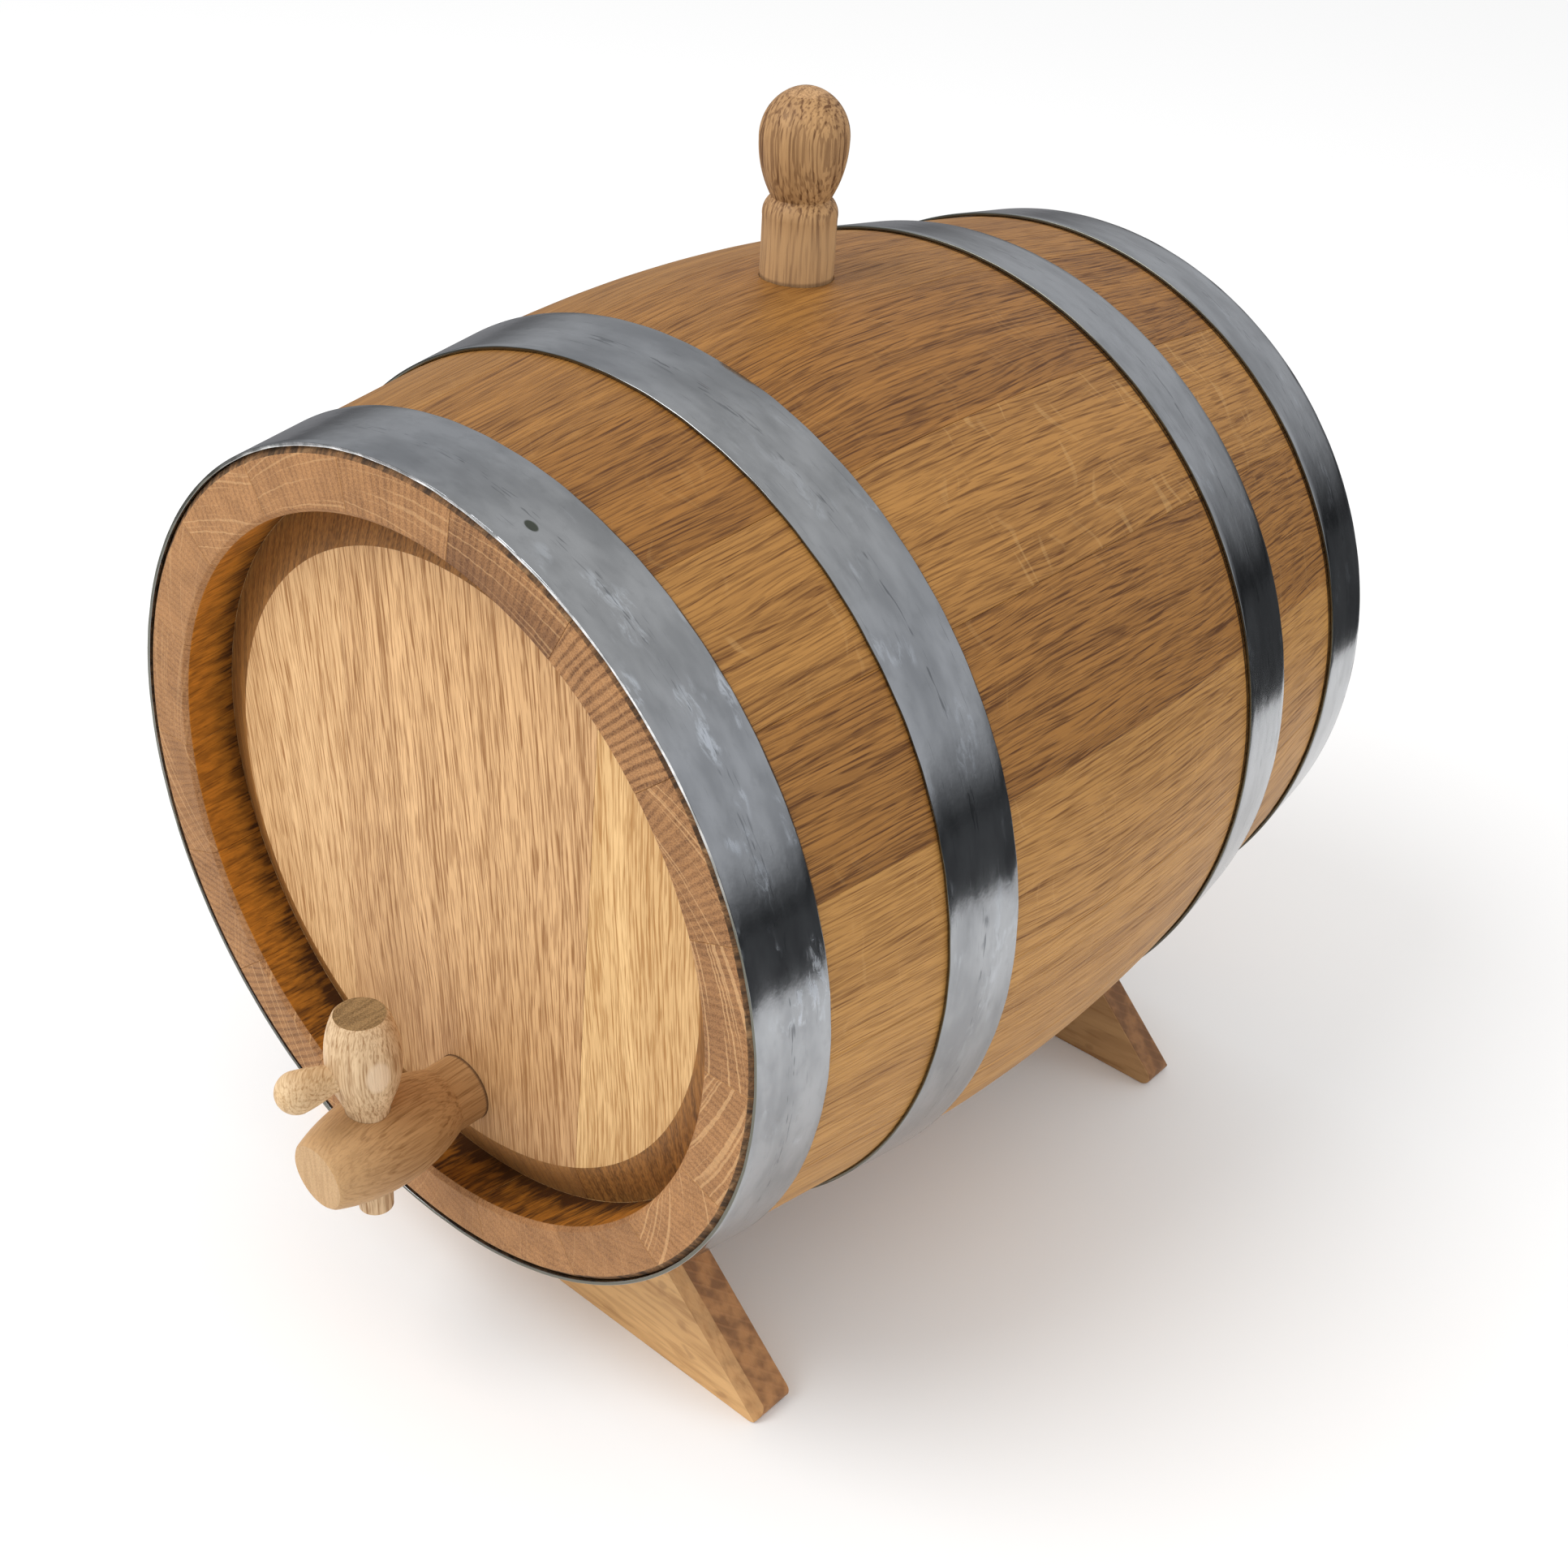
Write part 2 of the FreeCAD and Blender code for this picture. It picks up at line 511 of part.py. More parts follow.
def main():
    nodes = {}
    nodes.update(make_staves())
    nodes.update(make_head("front", FRONT_HEAD_TURN, True))
    nodes.update(make_head("rear", REAR_HEAD_TURN, False))
    nodes.update(make_hoops())
    nodes["bung"] = make_bung()
    nodes["tap_body"] = make_tap_body()
    nodes["tap_key"] = make_tap_key()
    nodes["tap_peg"] = peg_shape(0)
    nodes["front_cradle"] = make_cradle(-1)
    nodes["rear_cradle"] = make_cradle(1)
    nodes["cradle_screws"] = Part.makeCompound([screw_solid(side, 0) for side in (-1, 1)])
    os.makedirs("parts", exist_ok=True)
    for name, shape in nodes.items():
        shape.translate(CASK_SHIFT)
        shape.exportStep("parts/%s.step" % name)
        print("%-26s solids %d valid %s volume %.1f" % (name, len(shape.Solids), shape.isValid(), shape.Volume))


main()
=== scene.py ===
import math

import bmesh
import bpy
import numpy as np
from mathutils import Matrix, Vector


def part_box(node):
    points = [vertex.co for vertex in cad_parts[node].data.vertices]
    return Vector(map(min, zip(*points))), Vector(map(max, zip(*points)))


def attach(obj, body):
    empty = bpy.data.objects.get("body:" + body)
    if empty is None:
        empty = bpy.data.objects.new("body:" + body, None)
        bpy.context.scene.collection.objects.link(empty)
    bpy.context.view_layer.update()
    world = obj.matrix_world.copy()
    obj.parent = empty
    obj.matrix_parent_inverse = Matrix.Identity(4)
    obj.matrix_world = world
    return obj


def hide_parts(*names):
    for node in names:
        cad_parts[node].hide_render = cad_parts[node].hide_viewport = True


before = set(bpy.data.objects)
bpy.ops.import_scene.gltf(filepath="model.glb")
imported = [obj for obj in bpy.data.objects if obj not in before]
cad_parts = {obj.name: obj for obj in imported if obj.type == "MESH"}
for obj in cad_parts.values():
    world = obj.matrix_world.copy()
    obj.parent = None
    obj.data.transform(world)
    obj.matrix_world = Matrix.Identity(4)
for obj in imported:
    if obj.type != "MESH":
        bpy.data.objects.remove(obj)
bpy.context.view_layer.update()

# Sizes in metres, angles in degrees. Angles round the cask count from its top towards +X.
MM = 0.001

# The cask's shell, as the frame holds it
CASK_LENGTH = 301.0 * MM
END_RADIUS = 123.9 * MM
BILGE_RADIUS = 139.0 * MM
BENT_LENGTH = 135.0 * MM
STAVE_COUNT = 18
STAVE_ANGLE = 360.0 / STAVE_COUNT
STAVE_THICKNESS = 17.3 * MM
CHIME_CHAMFER = 1.5 * MM
CROZE_FROM_END = 19.0 * MM
CROZE_WIDTH = 7.3 * MM
CROZE_DEPTH = 4.0 * MM
STAVE_STEP = 0.16 * MM
JOINT_ROUNDING = 0.22 * MM
JOINT_ANGLE = 40.0

# The hole for the bung: its radius at the shell's top, what it gains per metre of height, and its ends
BUNG_HOLE_RADIUS = 10.55 * MM
BUNG_HOLE_TAPER = 0.9 / 24.0
BUNG_HOLE_LEVELS = (-30.0 * MM, 4.0 * MM)
BUNG_HOLE_SIDES = 64

# Hoops: the strips' edges, from the cask's middle. The lap spreads to both sides of its angle, and over its
# rise the strip climbs onto its own start.
HOOP_THICKNESS = 1.1 * MM
HOOP_CLEARANCE = 0.1 * MM
HOOP_CORNER = 0.3 * MM
HEAD_STRIP = (126.2 * MM, 150.5 * MM)
BILGE_STRIP = (59.7 * MM, 84.9 * MM)
LAP_ANGLE = 205.0
LAP_SPREAD = 14.0
LAP_RISE = 5.0
LAP_GAP = 0.02 * MM
HOOP_TURN_STEP = 1.0

# Marks on the hoops: waves of dents and of the edges, a painted highlight on a stretch of edge, bloomed
# stretches, and the one dark dimple
DENT_WAVES = 9
DENT_WAVES_AROUND = (5, 46)
DENT_WAVES_ACROSS = (20.0, 260.0)
DENT_DEPTH = 0.022 * MM
EDGE_WAVES_AROUND = (23, 61)
EDGE_WANDER = 0.05 * MM
EDGE_REGION = 0.4
EDGE_HIGHLIGHT_ANGLE = 15.0
BLOOM_ANGLE = 62.0
BLOOM_LEAST = 0.08
BLOOM_ON_FRONT_HEAD = 0.8
BLOOM_ELSEWHERE = 0.35
DIMPLE_ANGLE = 18.3
DIMPLE_FROM_END = 9.0 * MM
DIMPLE_RADIUS = 2.4 * MM
DIMPLE_DEPTH = 0.12 * MM
DIMPLE_LENGTHENING = 1.7
DIMPLE_HALF_SPAN = 1.6
DIMPLE_TURN_STEP = 0.1

# Oak: the turn of the heads' boards, the step of the lines on a face, the rings of an end and the saw's marks
FRONT_HEAD_TURN = 3.4
REAR_HEAD_TURN = 2.0
RING_STEP = 2.0 * MM
PITH_DISTANCE = 95.0 * MM
YEAR_STEP = 2.9 * MM
SAW_STEP = 3.4 * MM
BUMP_DEPTH = 0.12 * MM

# Light
SKY_STRENGTH = 0.93
KEY_POWER = 24.0
SIDE_POWER = 4.0
FLOOR_REACH = 60.0
TENT_RADIUS = 6.0
TENT_SIDES = 64
TENT_LEVELS = 17
TABLE_RIM = 0.64
TABLE_RIM_HEIGHT = 1.0 * MM
BLACK = (0.0, 0.0, 0.0, 1.0)

# Camera at the photograph's viewing angle
CAMERA_FROM_CASK = Vector((0.3510, -0.4281, 0.3163))
CAMERA_AZIMUTH = 41.12
CAMERA_DOWN = 35.40
CAMERA_ROLL = 2.47
FRAME_PIXELS = 1932
FOCAL_PIXELS = 2418.4
AXIS_PIXEL_X = 880.0
AXIS_PIXEL_Y = 1100.0
SENSOR_WIDTH = 36.0

HALF_LENGTH = CASK_LENGTH / 2
HALF_BENT = BENT_LENGTH / 2
HOOP_MIDDLE = (BILGE_STRIP[1] - BILGE_STRIP[0]) / 2


def cask_centre():
    """Middle of the cask's axis: along Y that of the bung stave's box, in height the front bilge hoop's."""
    stave_low, stave_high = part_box("stave_01")
    hoop_low, hoop_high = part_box("front_bilge_hoop")
    return Vector((0.0, (stave_low.y + stave_high.y) / 2, (hoop_low.z + hoop_high.z) / 2))


CENTRE = cask_centre()


# Shapes

def end_slope():
    """Slope of a stave's straight ends, in radians, from the drop that its bent middle and its ends share.

    The drop is half the bent length times the tangent of half the slope, and each straight end's length
    times the tangent of the slope. The step that gives that half tangent is repeated until it settles.
    """
    drop = BILGE_RADIUS - END_RADIUS
    half_tan = 0.0
    for _ in range(30):
        half_tan = drop / (HALF_BENT + 2 * (HALF_LENGTH - HALF_BENT) / (1 - half_tan ** 2))
    return 2 * math.atan(half_tan)


SLOPE = end_slope()
BEND_RADIUS = HALF_BENT / math.sin(SLOPE)


def wood_radius(y):
    """Outer radius of the shell at distances y from its middle: a circle's arc between two tangents."""
    y = np.abs(y)
    arc = BILGE_RADIUS - BEND_RADIUS + np.sqrt(BEND_RADIUS ** 2 - np.minimum(y, HALF_BENT) ** 2)
    return arc - np.maximum(y - HALF_BENT, 0) * math.tan(SLOPE)


def make_mesh(name, vertices, faces):
    """A mesh object in the row frame, from points round the cask's centre."""
    mesh = bpy.data.meshes.new(name)
    mesh.from_pydata((vertices + np.array(CENTRE)).tolist(), [], faces)
    mesh.update()
    piece = bpy.data.objects.new(name, mesh)
    bpy.context.scene.collection.objects.link(piece)
    return piece


def tube_faces(rows, columns):
    """Quads between neighbours of a grid of rows by columns, each row of which closes on itself."""
    i, j = np.meshgrid(np.arange(rows - 1), np.arange(columns), indexing="ij")
    i, j = i.ravel(), j.ravel()
    j_next = (j + 1) % columns
    row, next_row = i * columns, (i + 1) * columns
    return np.stack([row + j, row + j_next, next_row + j_next, next_row + j], 1)


def read_mesh(items, field):
    """One vector for each vertex or face of a mesh, in the row frame."""
    values = np.empty(len(items) * 3)
    items.foreach_get(field, values)
    return values.reshape(-1, 3)


def set_attribute(piece, name, kind, domain, values):
    """Stores a number or a vector for each point or face, which the piece's finish reads by its name."""
    attribute = piece.data.attributes.new(name, kind, domain)
    field = "vector" if kind == "FLOAT_VECTOR" else "value"
    attribute.data.foreach_set(field, np.asarray(values, np.float32).ravel())


def smooth_shade(piece, angle):
    """Shades the piece smooth, except over edges sharper than an angle."""
    piece.data.shade_smooth()
    piece.data.set_sharp_from_angle(angle=math.radians(angle))


def round_edges(piece, width, angle):
    """Rounds every edge sharper than an angle, as a scraper or a file leaves it."""
    bevel = piece.modifiers.new("rounding", "BEVEL")
    bevel.width = width
    bevel.segments = 2
    bevel.limit_method = "ANGLE"
    bevel.angle_limit = math.radians(angle)


def settle(piece, node, body):
    """The piece stands for its node and rides on its body."""
    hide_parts(node)
    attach(piece, body)


def stave_outline():
    """Closed outline of a stave's section as y and radius: outer face, chime, croze, inner face and back."""
    end = HALF_LENGTH
    chamfer = CHIME_CHAMFER
    croze_start = end - CROZE_FROM_END
    croze_stop = croze_start - CROZE_WIDTH
    outer_y = np.linspace(-end + chamfer, end - chamfer, 61)
    inner_y = np.linspace(0, croze_stop, 16)[:-1]
    croze_y = np.array([croze_stop, croze_stop, croze_start, croze_start])
    chime_y = np.linspace(croze_start, end - chamfer, 6)[1:]
    half_y = np.concatenate([inner_y, croze_y, chime_y, [end, end]])
    half_r = wood_radius(half_y) - STAVE_THICKNESS
    half_r[len(inner_y):len(inner_y) + len(croze_y)] += np.array([0, CROZE_DEPTH, CROZE_DEPTH, 0])
    half_r[-2] = wood_radius(end) - STAVE_THICKNESS + chamfer
    half_r[-1] = wood_radius(end) - chamfer
    y = np.concatenate([outer_y, half_y[::-1], -half_y[1:]])
    r = np.concatenate([wood_radius(outer_y), half_r[::-1], half_r[1:]])
    return y, r


# For the staves that the photograph shows, counted from the bung's at 0 towards +X. The long face: depth of
# tone from pale gold 0 to dark brown 1, strength of streaks, amount of ray fleck. The end grain: angle of its
# rays against the stave's width, strength of its growth rings, darkness of its inner half, depth of tone, and
# strength of its rays.
STAVE_LOOKS = {
    0: (0.80, 0.75, 0.10, 5.0, 0.25, 0.15, 0.40, 0.6),
    1: (0.95, 0.90, 0.15, 8.0, 0.25, 1.00, 0.70, 0.7),
    2: (0.55, 0.85, 0.55, 0.0, 0.70, 0.00, 0.35, 0.2),
    3: (0.84, 1.00, 0.20, 25.0, 0.30, 0.10, 0.60, 0.9),
    4: (0.12, 0.80, 0.30, 10.0, 0.20, 0.35, 0.60, 1.0),
    5: (0.10, 0.65, 0.15, -8.0, 0.20, 0.05, 0.35, 0.9),
    6: (0.05, 0.60, 0.20, 30.0, 0.15, 0.05, 0.30, 0.9),
    7: (0.12, 0.50, 0.10, 60.0, 0.05, 0.30, 0.55, 0.2),
    8: (0.70, 0.70, 0.30, 70.0, 0.05, 0.10, 0.45, 0.2),
    9: (0.15, 0.60, 0.60, 65.0, 0.05, 0.10, 0.45, 0.3),
    15: (0.75, 0.80, 0.10, 20.0, 0.10, 0.10, 0.30, 0.4),
    16: (0.20, 0.60, 0.50, -15.0, 0.15, 0.05, 0.20, 0.7),
    17: (0.60, 0.60, 0.10, 10.0, 0.20, 0.10, 0.30, 0.6),
}


def stave_look(index):
    """The look of a stave in the photograph, or for one out of sight a seeded draw of the same values."""
    draws = np.random.default_rng(40 + index)
    ranges = ((0.05, 0.85), (0.5, 1.0), (0.0, 0.6), (-30, 30), (0.1, 0.5), (0, 0.3), (0.2, 0.6), (0.2, 1.0))
    return STAVE_LOOKS.get(index, tuple(draws.uniform(low, high) for low, high in ranges))


def make_stave(index):
    """One stave: the section carried through a stave's angle, with flat joints.

    A seeded draw sets each stave a hair lower than the shell, so that neighbours don't meet flush.
    """
    steps = 11
    y, r = stave_outline()
    radius = r[None, :] - STAVE_STEP * np.random.default_rng(index).uniform(0, 1)
    turn = np.radians(index * STAVE_ANGLE + np.linspace(-STAVE_ANGLE / 2, STAVE_ANGLE / 2, steps))
    corners = len(y)
    points = np.stack([radius * np.sin(turn)[:, None], np.broadcast_to(y, (steps, corners)),
                       radius * np.cos(turn)[:, None]], 2).reshape(-1, 3)
    quads = tube_faces(steps, corners)[:, ::-1].tolist()
    joints = [list(range(corners)), list(range((steps - 1) * corners, steps * corners))[::-1]]
    piece = make_mesh("stave_%02d_wood" % (index + 1), points, quads + joints)
    if index == 0:
        cut_bung_hole(piece)
    describe_wood(piece, index)
    smooth_shade(piece, angle=30)
    round_edges(piece, JOINT_ROUNDING, JOINT_ANGLE)
    settle(piece, "stave_%02d" % (index + 1), "cask")
    return piece


def describe_wood(piece, index):
    """Tells a stave's finish where each point lies in the wood and what each face is.

    grain is the place across, along and below the long face. tree is the distance from the pith, the
    place along, and the way round the pith, which lies beside the stave in the direction of its rays.
    Both are shifted from stave to stave, so that no two staves come from the same place in the noise.
    The heartwood of an end starts just short of the middle of its thickness and fades in below that.
    """
    tone, streaks, fleck, ray_turn, ringed, heart, end_tone, rays = stave_look(index)
    points = read_mesh(piece.data.vertices, "co") - np.array(CENTRE)
    turned = np.arctan2(points[:, 0], points[:, 2]) - math.radians(index * STAVE_ANGLE)
    across = ((turned + math.pi) % (2 * math.pi) - math.pi) * BILGE_RADIUS
    along = points[:, 1]
    depth = np.hypot(points[:, 0], points[:, 2]) - wood_radius(along)
    lean = math.radians(ray_turn)
    beside_pith = across + PITH_DISTANCE * math.cos(lean)
    above_pith = depth + PITH_DISTANCE * math.sin(lean)
    pith_way = (np.arctan2(above_pith, beside_pith) - lean) * PITH_DISTANCE
    heartwood = np.clip((-depth - 0.45 * STAVE_THICKNESS) / (0.12 * STAVE_THICKNESS), 0, 1) * heart
    grain = np.stack([across, along, depth], 1) + index * np.array([0.31, 0.47, 0.17])
    tree = np.stack([np.hypot(beside_pith, above_pith), along, pith_way], 1)
    tree = tree + index * np.array([0.23, 0.0, 0.19])
    face_look = np.tile([tone, streaks, fleck], (len(points), 1))
    end_look = np.stack([np.full(len(points), ringed), heartwood, np.full(len(points), end_tone)], 1)
    set_attribute(piece, "grain", "FLOAT_VECTOR", "POINT", grain)
    set_attribute(piece, "tree", "FLOAT_VECTOR", "POINT", tree)
    set_attribute(piece, "face_look", "FLOAT_VECTOR", "POINT", face_look)
    set_attribute(piece, "end_look", "FLOAT_VECTOR", "POINT", end_look)
    set_attribute(piece, "rays", "FLOAT", "POINT", np.full(len(points), rays))
    centres = read_mesh(piece.data.polygons, "center") - np.array(CENTRE)
    normals = read_mesh(piece.data.polygons, "normal")
    outward = centres * [1, 0, 1]
    outward /= np.linalg.norm(outward, axis=1)[:, None]
    facing_out = np.sum(normals * outward, 1)
    clearly = 0.3
    at_end = np.abs(centres[:, 1]) > HALF_LENGTH - 1.1 * CHIME_CHAMFER
    inside = (facing_out < -clearly) & ~at_end
    # The outward chamfers at the ends, under the hoops, take painted shadow in the finish.
    shaded_chamfer = at_end & (facing_out > clearly)
    set_attribute(piece, "cut", "FLOAT_VECTOR", "FACE", np.stack([at_end, inside, shaded_chamfer], 1))


def cut_bung_hole(stave):
    """Cuts a tapered hole out of the top stave where the bung stands, a hair wider than the bung is."""
    low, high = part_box("bung")
    sides = BUNG_HOLE_SIDES
    turn = np.linspace(0, 2 * math.pi, sides, endpoint=False)
    levels = np.array(BUNG_HOLE_LEVELS)
    r = BUNG_HOLE_RADIUS + BUNG_HOLE_TAPER * levels
    x = r[:, None] * np.cos(turn)
    y = r[:, None] * np.sin(turn) + (low.y + high.y) / 2 - CENTRE.y
    z = np.broadcast_to((levels + BILGE_RADIUS)[:, None], x.shape)
    points = np.stack([x, y, z], 2).reshape(-1, 3)
    wall = tube_faces(2, sides).tolist()
    ends = [list(range(sides))[::-1], list(range(sides, 2 * sides))]
    cutter = make_mesh("bung_hole_cutter", points, wall + ends)
    cut = stave.modifiers.new("bung hole", "BOOLEAN")
    cut.operation = "DIFFERENCE"
    cut.solver = "EXACT"
    cut.object = cutter
    graph = bpy.context.evaluated_depsgraph_get()
    finished = bpy.data.meshes.new_from_object(stave.evaluated_get(graph))
    stave.modifiers.clear()
    stave.data = finished
    bpy.data.objects.remove(cutter)


def strip_outline(width, mark):
    """Closed outline of a strip's section as places across it and above its inner face, with round corners.

    Round a mark across the strip, where there is one, the points lie closer.
    """
    across = np.linspace(HOOP_CORNER, width - HOOP_CORNER, 13)
    if mark is not None:
        across = np.unique(np.concatenate([across, np.linspace(mark - 3 * MM, mark + 3 * MM, 25)]))
    corner = np.radians(np.linspace(0, 90, 4))[1:-1]
    edge = HOOP_CORNER - HOOP_CORNER * np.sin(corner)
    below = HOOP_CORNER * (1 - np.cos(corner))
    above = HOOP_THICKNESS - below
    sides = [HOOP_CORNER, HOOP_THICKNESS - HOOP_CORNER]
    u = np.concatenate([across, width - edge, [width, width], width - edge[::-1],
                        across[::-1], edge, [0, 0], edge[::-1]])
    v = np.concatenate([np.full(len(across), HOOP_THICKNESS), above, sides[::-1], below[::-1],
                        np.zeros(len(across)), below, sides, above[::-1]])
    return u, v


def strip_dents(angle, u, seed):
    """Dents of a strip in metres, negative below its face: a seeded sum of waves round and across it."""
    draws = np.random.default_rng(seed)
    waves = np.zeros((len(angle), len(u)))
    for _ in range(DENT_WAVES):
        around = draws.integers(*DENT_WAVES_AROUND)
        over = draws.uniform(*DENT_WAVES_ACROSS)
        phase = draws.uniform(0, 2 * math.pi, 2)
        waves += np.cos(around * angle + phase[0]) * np.cos(over * u[None, :] + phase[1]) / (1 + around / 12)
    return -DENT_DEPTH * waves


def near_angle(angle, middle, gain, offset):
    """1 near a middle angle and 0 away from it: a gain times the cosine of the distance, less an offset."""
    return np.clip(np.cos(angle - math.radians(middle)) * gain - offset, 0, 1)


def make_hoop(name, side, wide_y, narrow_y, seed):
    """A strip bent round the shell: its section carried round the cask once, then over its own start.

    The strip lies on the shell's slope. Its outer face has shallow dents, its edges wander by a tenth of
    a millimetre, and the front head hoop has a dimple. strip is the place round and across the strip,
    marks says where it shows its edge, where a stretch of that edge takes a painted highlight and where
    it has bloomed, and dimple how deep the dimple is, from 0 to 1.
    """
    marked = name == "front_head_hoop"
    start = LAP_ANGLE - LAP_SPREAD / 2
    turn = np.arange(start, start + 360 + LAP_SPREAD + 0.01, HOOP_TURN_STEP)
    if marked:
        fine = np.arange(360 + DIMPLE_ANGLE - DIMPLE_HALF_SPAN, 360 + DIMPLE_ANGLE + DIMPLE_HALF_SPAN,
                         DIMPLE_TURN_STEP)
        turn = np.unique(np.round(np.concatenate([turn, fine]), 3))
    angle = np.radians(turn)[:, None]
    width = abs(wide_y - narrow_y) / math.cos(SLOPE)
    mark = width - DIMPLE_FROM_END / math.cos(SLOPE)
    u, v = strip_outline(width, mark if marked else None)
    rows, columns = len(turn), len(u)

    rise = np.clip((turn - (start + 360 - LAP_RISE)) / LAP_RISE, 0, 1)
    lift = HOOP_CLEARANCE + (HOOP_THICKNESS + LAP_GAP) * rise * rise * (3 - 2 * rise)
    wander = EDGE_WANDER * (np.sin(EDGE_WAVES_AROUND[0] * angle + seed)
                            + np.sin(EDGE_WAVES_AROUND[1] * angle + 2 * seed))
    from_middle = u - width / 2
    near_edge = np.abs(from_middle) > EDGE_REGION * width
    place = u[None, :] + wander * np.sign(from_middle)[None, :] * near_edge
    shown = (v > HOOP_THICKNESS / 2)[None, :]
    height = v[None, :] + np.where(shown, np.minimum(strip_dents(angle, u, seed), 0), 0)
    dimple = np.zeros(place.shape)
    if marked:
        reach = np.hypot((turn[:, None] - 360 - DIMPLE_ANGLE) * math.pi / 180 * END_RADIUS,
                         (place - mark) * DIMPLE_LENGTHENING)
        dimple = np.clip(1 - (reach / DIMPLE_RADIUS) ** 2, 0, 1)
        height = height - np.where(shown, DIMPLE_DEPTH * dimple, 0)

    above = height + lift[:, None]
    along = wide_y + side * place * math.cos(SLOPE) + side * above * math.sin(SLOPE)
    along = np.clip(along, -HALF_LENGTH, HALF_LENGTH)
    radius = wood_radius(np.array(wide_y)) - place * math.sin(SLOPE) + above * math.cos(SLOPE)
    points = np.stack([radius * np.sin(angle), along, radius * np.cos(angle)], 2).reshape(-1, 3)
    quads = tube_faces(rows, columns)
    caps = [list(range(columns)), list(range((rows - 1) * columns, rows * columns))]
    if side > 0:
        quads = quads[:, ::-1]
    caps[1 if side > 0 else 0].reverse()
    piece = make_mesh(name + "_strip", points, quads.tolist() + caps)

    strip = np.stack([np.broadcast_to(angle * END_RADIUS, place.shape), place,
                      np.full(place.shape, 0.5 * seed)], 2)
    at_edge = np.broadcast_to(np.minimum(u, width - u) < 0.5 * HOOP_CORNER, place.shape)
    # Painted highlight: a bright stretch along the front head hoop's edge at the cask's end.
    edge_highlight = near_angle(angle, EDGE_HIGHLIGHT_ANGLE, 4, 2.4) * (marked & (u > width / 2))
    weathered = np.maximum(near_angle(angle, BLOOM_ANGLE, 3, 1.9), BLOOM_LEAST)
    weathered = np.broadcast_to(weathered * (BLOOM_ON_FRONT_HEAD if marked else BLOOM_ELSEWHERE), place.shape)
    set_attribute(piece, "strip", "FLOAT_VECTOR", "POINT", strip)
    set_attribute(piece, "marks", "FLOAT_VECTOR", "POINT", np.stack([at_edge, edge_highlight, weathered], 2))
    set_attribute(piece, "dimple", "FLOAT", "POINT", dimple * shown)
    smooth_shade(piece, angle=60)
    settle(piece, name, "cask")
    return piece


def dressed_copy(node, body, rounding):
    """A copy of a node's mesh, merged where its triangles meet and with its edges rounded."""
    angle = 30.0
    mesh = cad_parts[node].data.copy()
    edit = bmesh.new()
    edit.from_mesh(mesh)
    bmesh.ops.remove_doubles(edit, verts=edit.verts, dist=0.002 * MM)
    bmesh.ops.dissolve_limit(edit, angle_limit=math.radians(0.05), verts=edit.verts, edges=edit.edges)
    edit.to_mesh(mesh)
    edit.free()
    mesh.materials.clear()
    piece = bpy.data.objects.new(node + "_wood", mesh)
    bpy.context.scene.collection.objects.link(piece)
    smooth_shade(piece, angle)
    round_edges(piece, rounding, angle)
    settle(piece, node, body)
    return piece


def face_directions(piece):
    """How far each face of a piece looks along X, Y and Z either way, from 0 to 1."""
    return np.abs(read_mesh(piece.data.polygons, "normal"))


# Shader sums

class Value:
    """A node's output on which sums can be written: each operation adds its own Math node."""

    def __init__(self, finish, socket):
        self.finish = finish
        self.socket = socket

    def math(self, operation, *others):
        return self.finish.math(operation, self, *others)

    def __add__(self, other):
        return self.math("ADD", other)

    def __sub__(self, other):
        return self.math("SUBTRACT", other)

    def __rsub__(self, other):
        return self.finish.math("SUBTRACT", other, self)

    def __mul__(self, other):
        return self.math("MULTIPLY", other)

    __radd__ = __add__
    __rmul__ = __mul__

    def clamped(self):
        return self.finish.node("ShaderNodeClamp", {}, {"Value": self})

    def between(self, low, high):
        """0 below low, 1 above high and a smooth rise between them."""
        return self.finish.node("ShaderNodeMapRange", {"interpolation_type": "SMOOTHSTEP"},
                                {"Value": self, "From Min": low, "From Max": high})


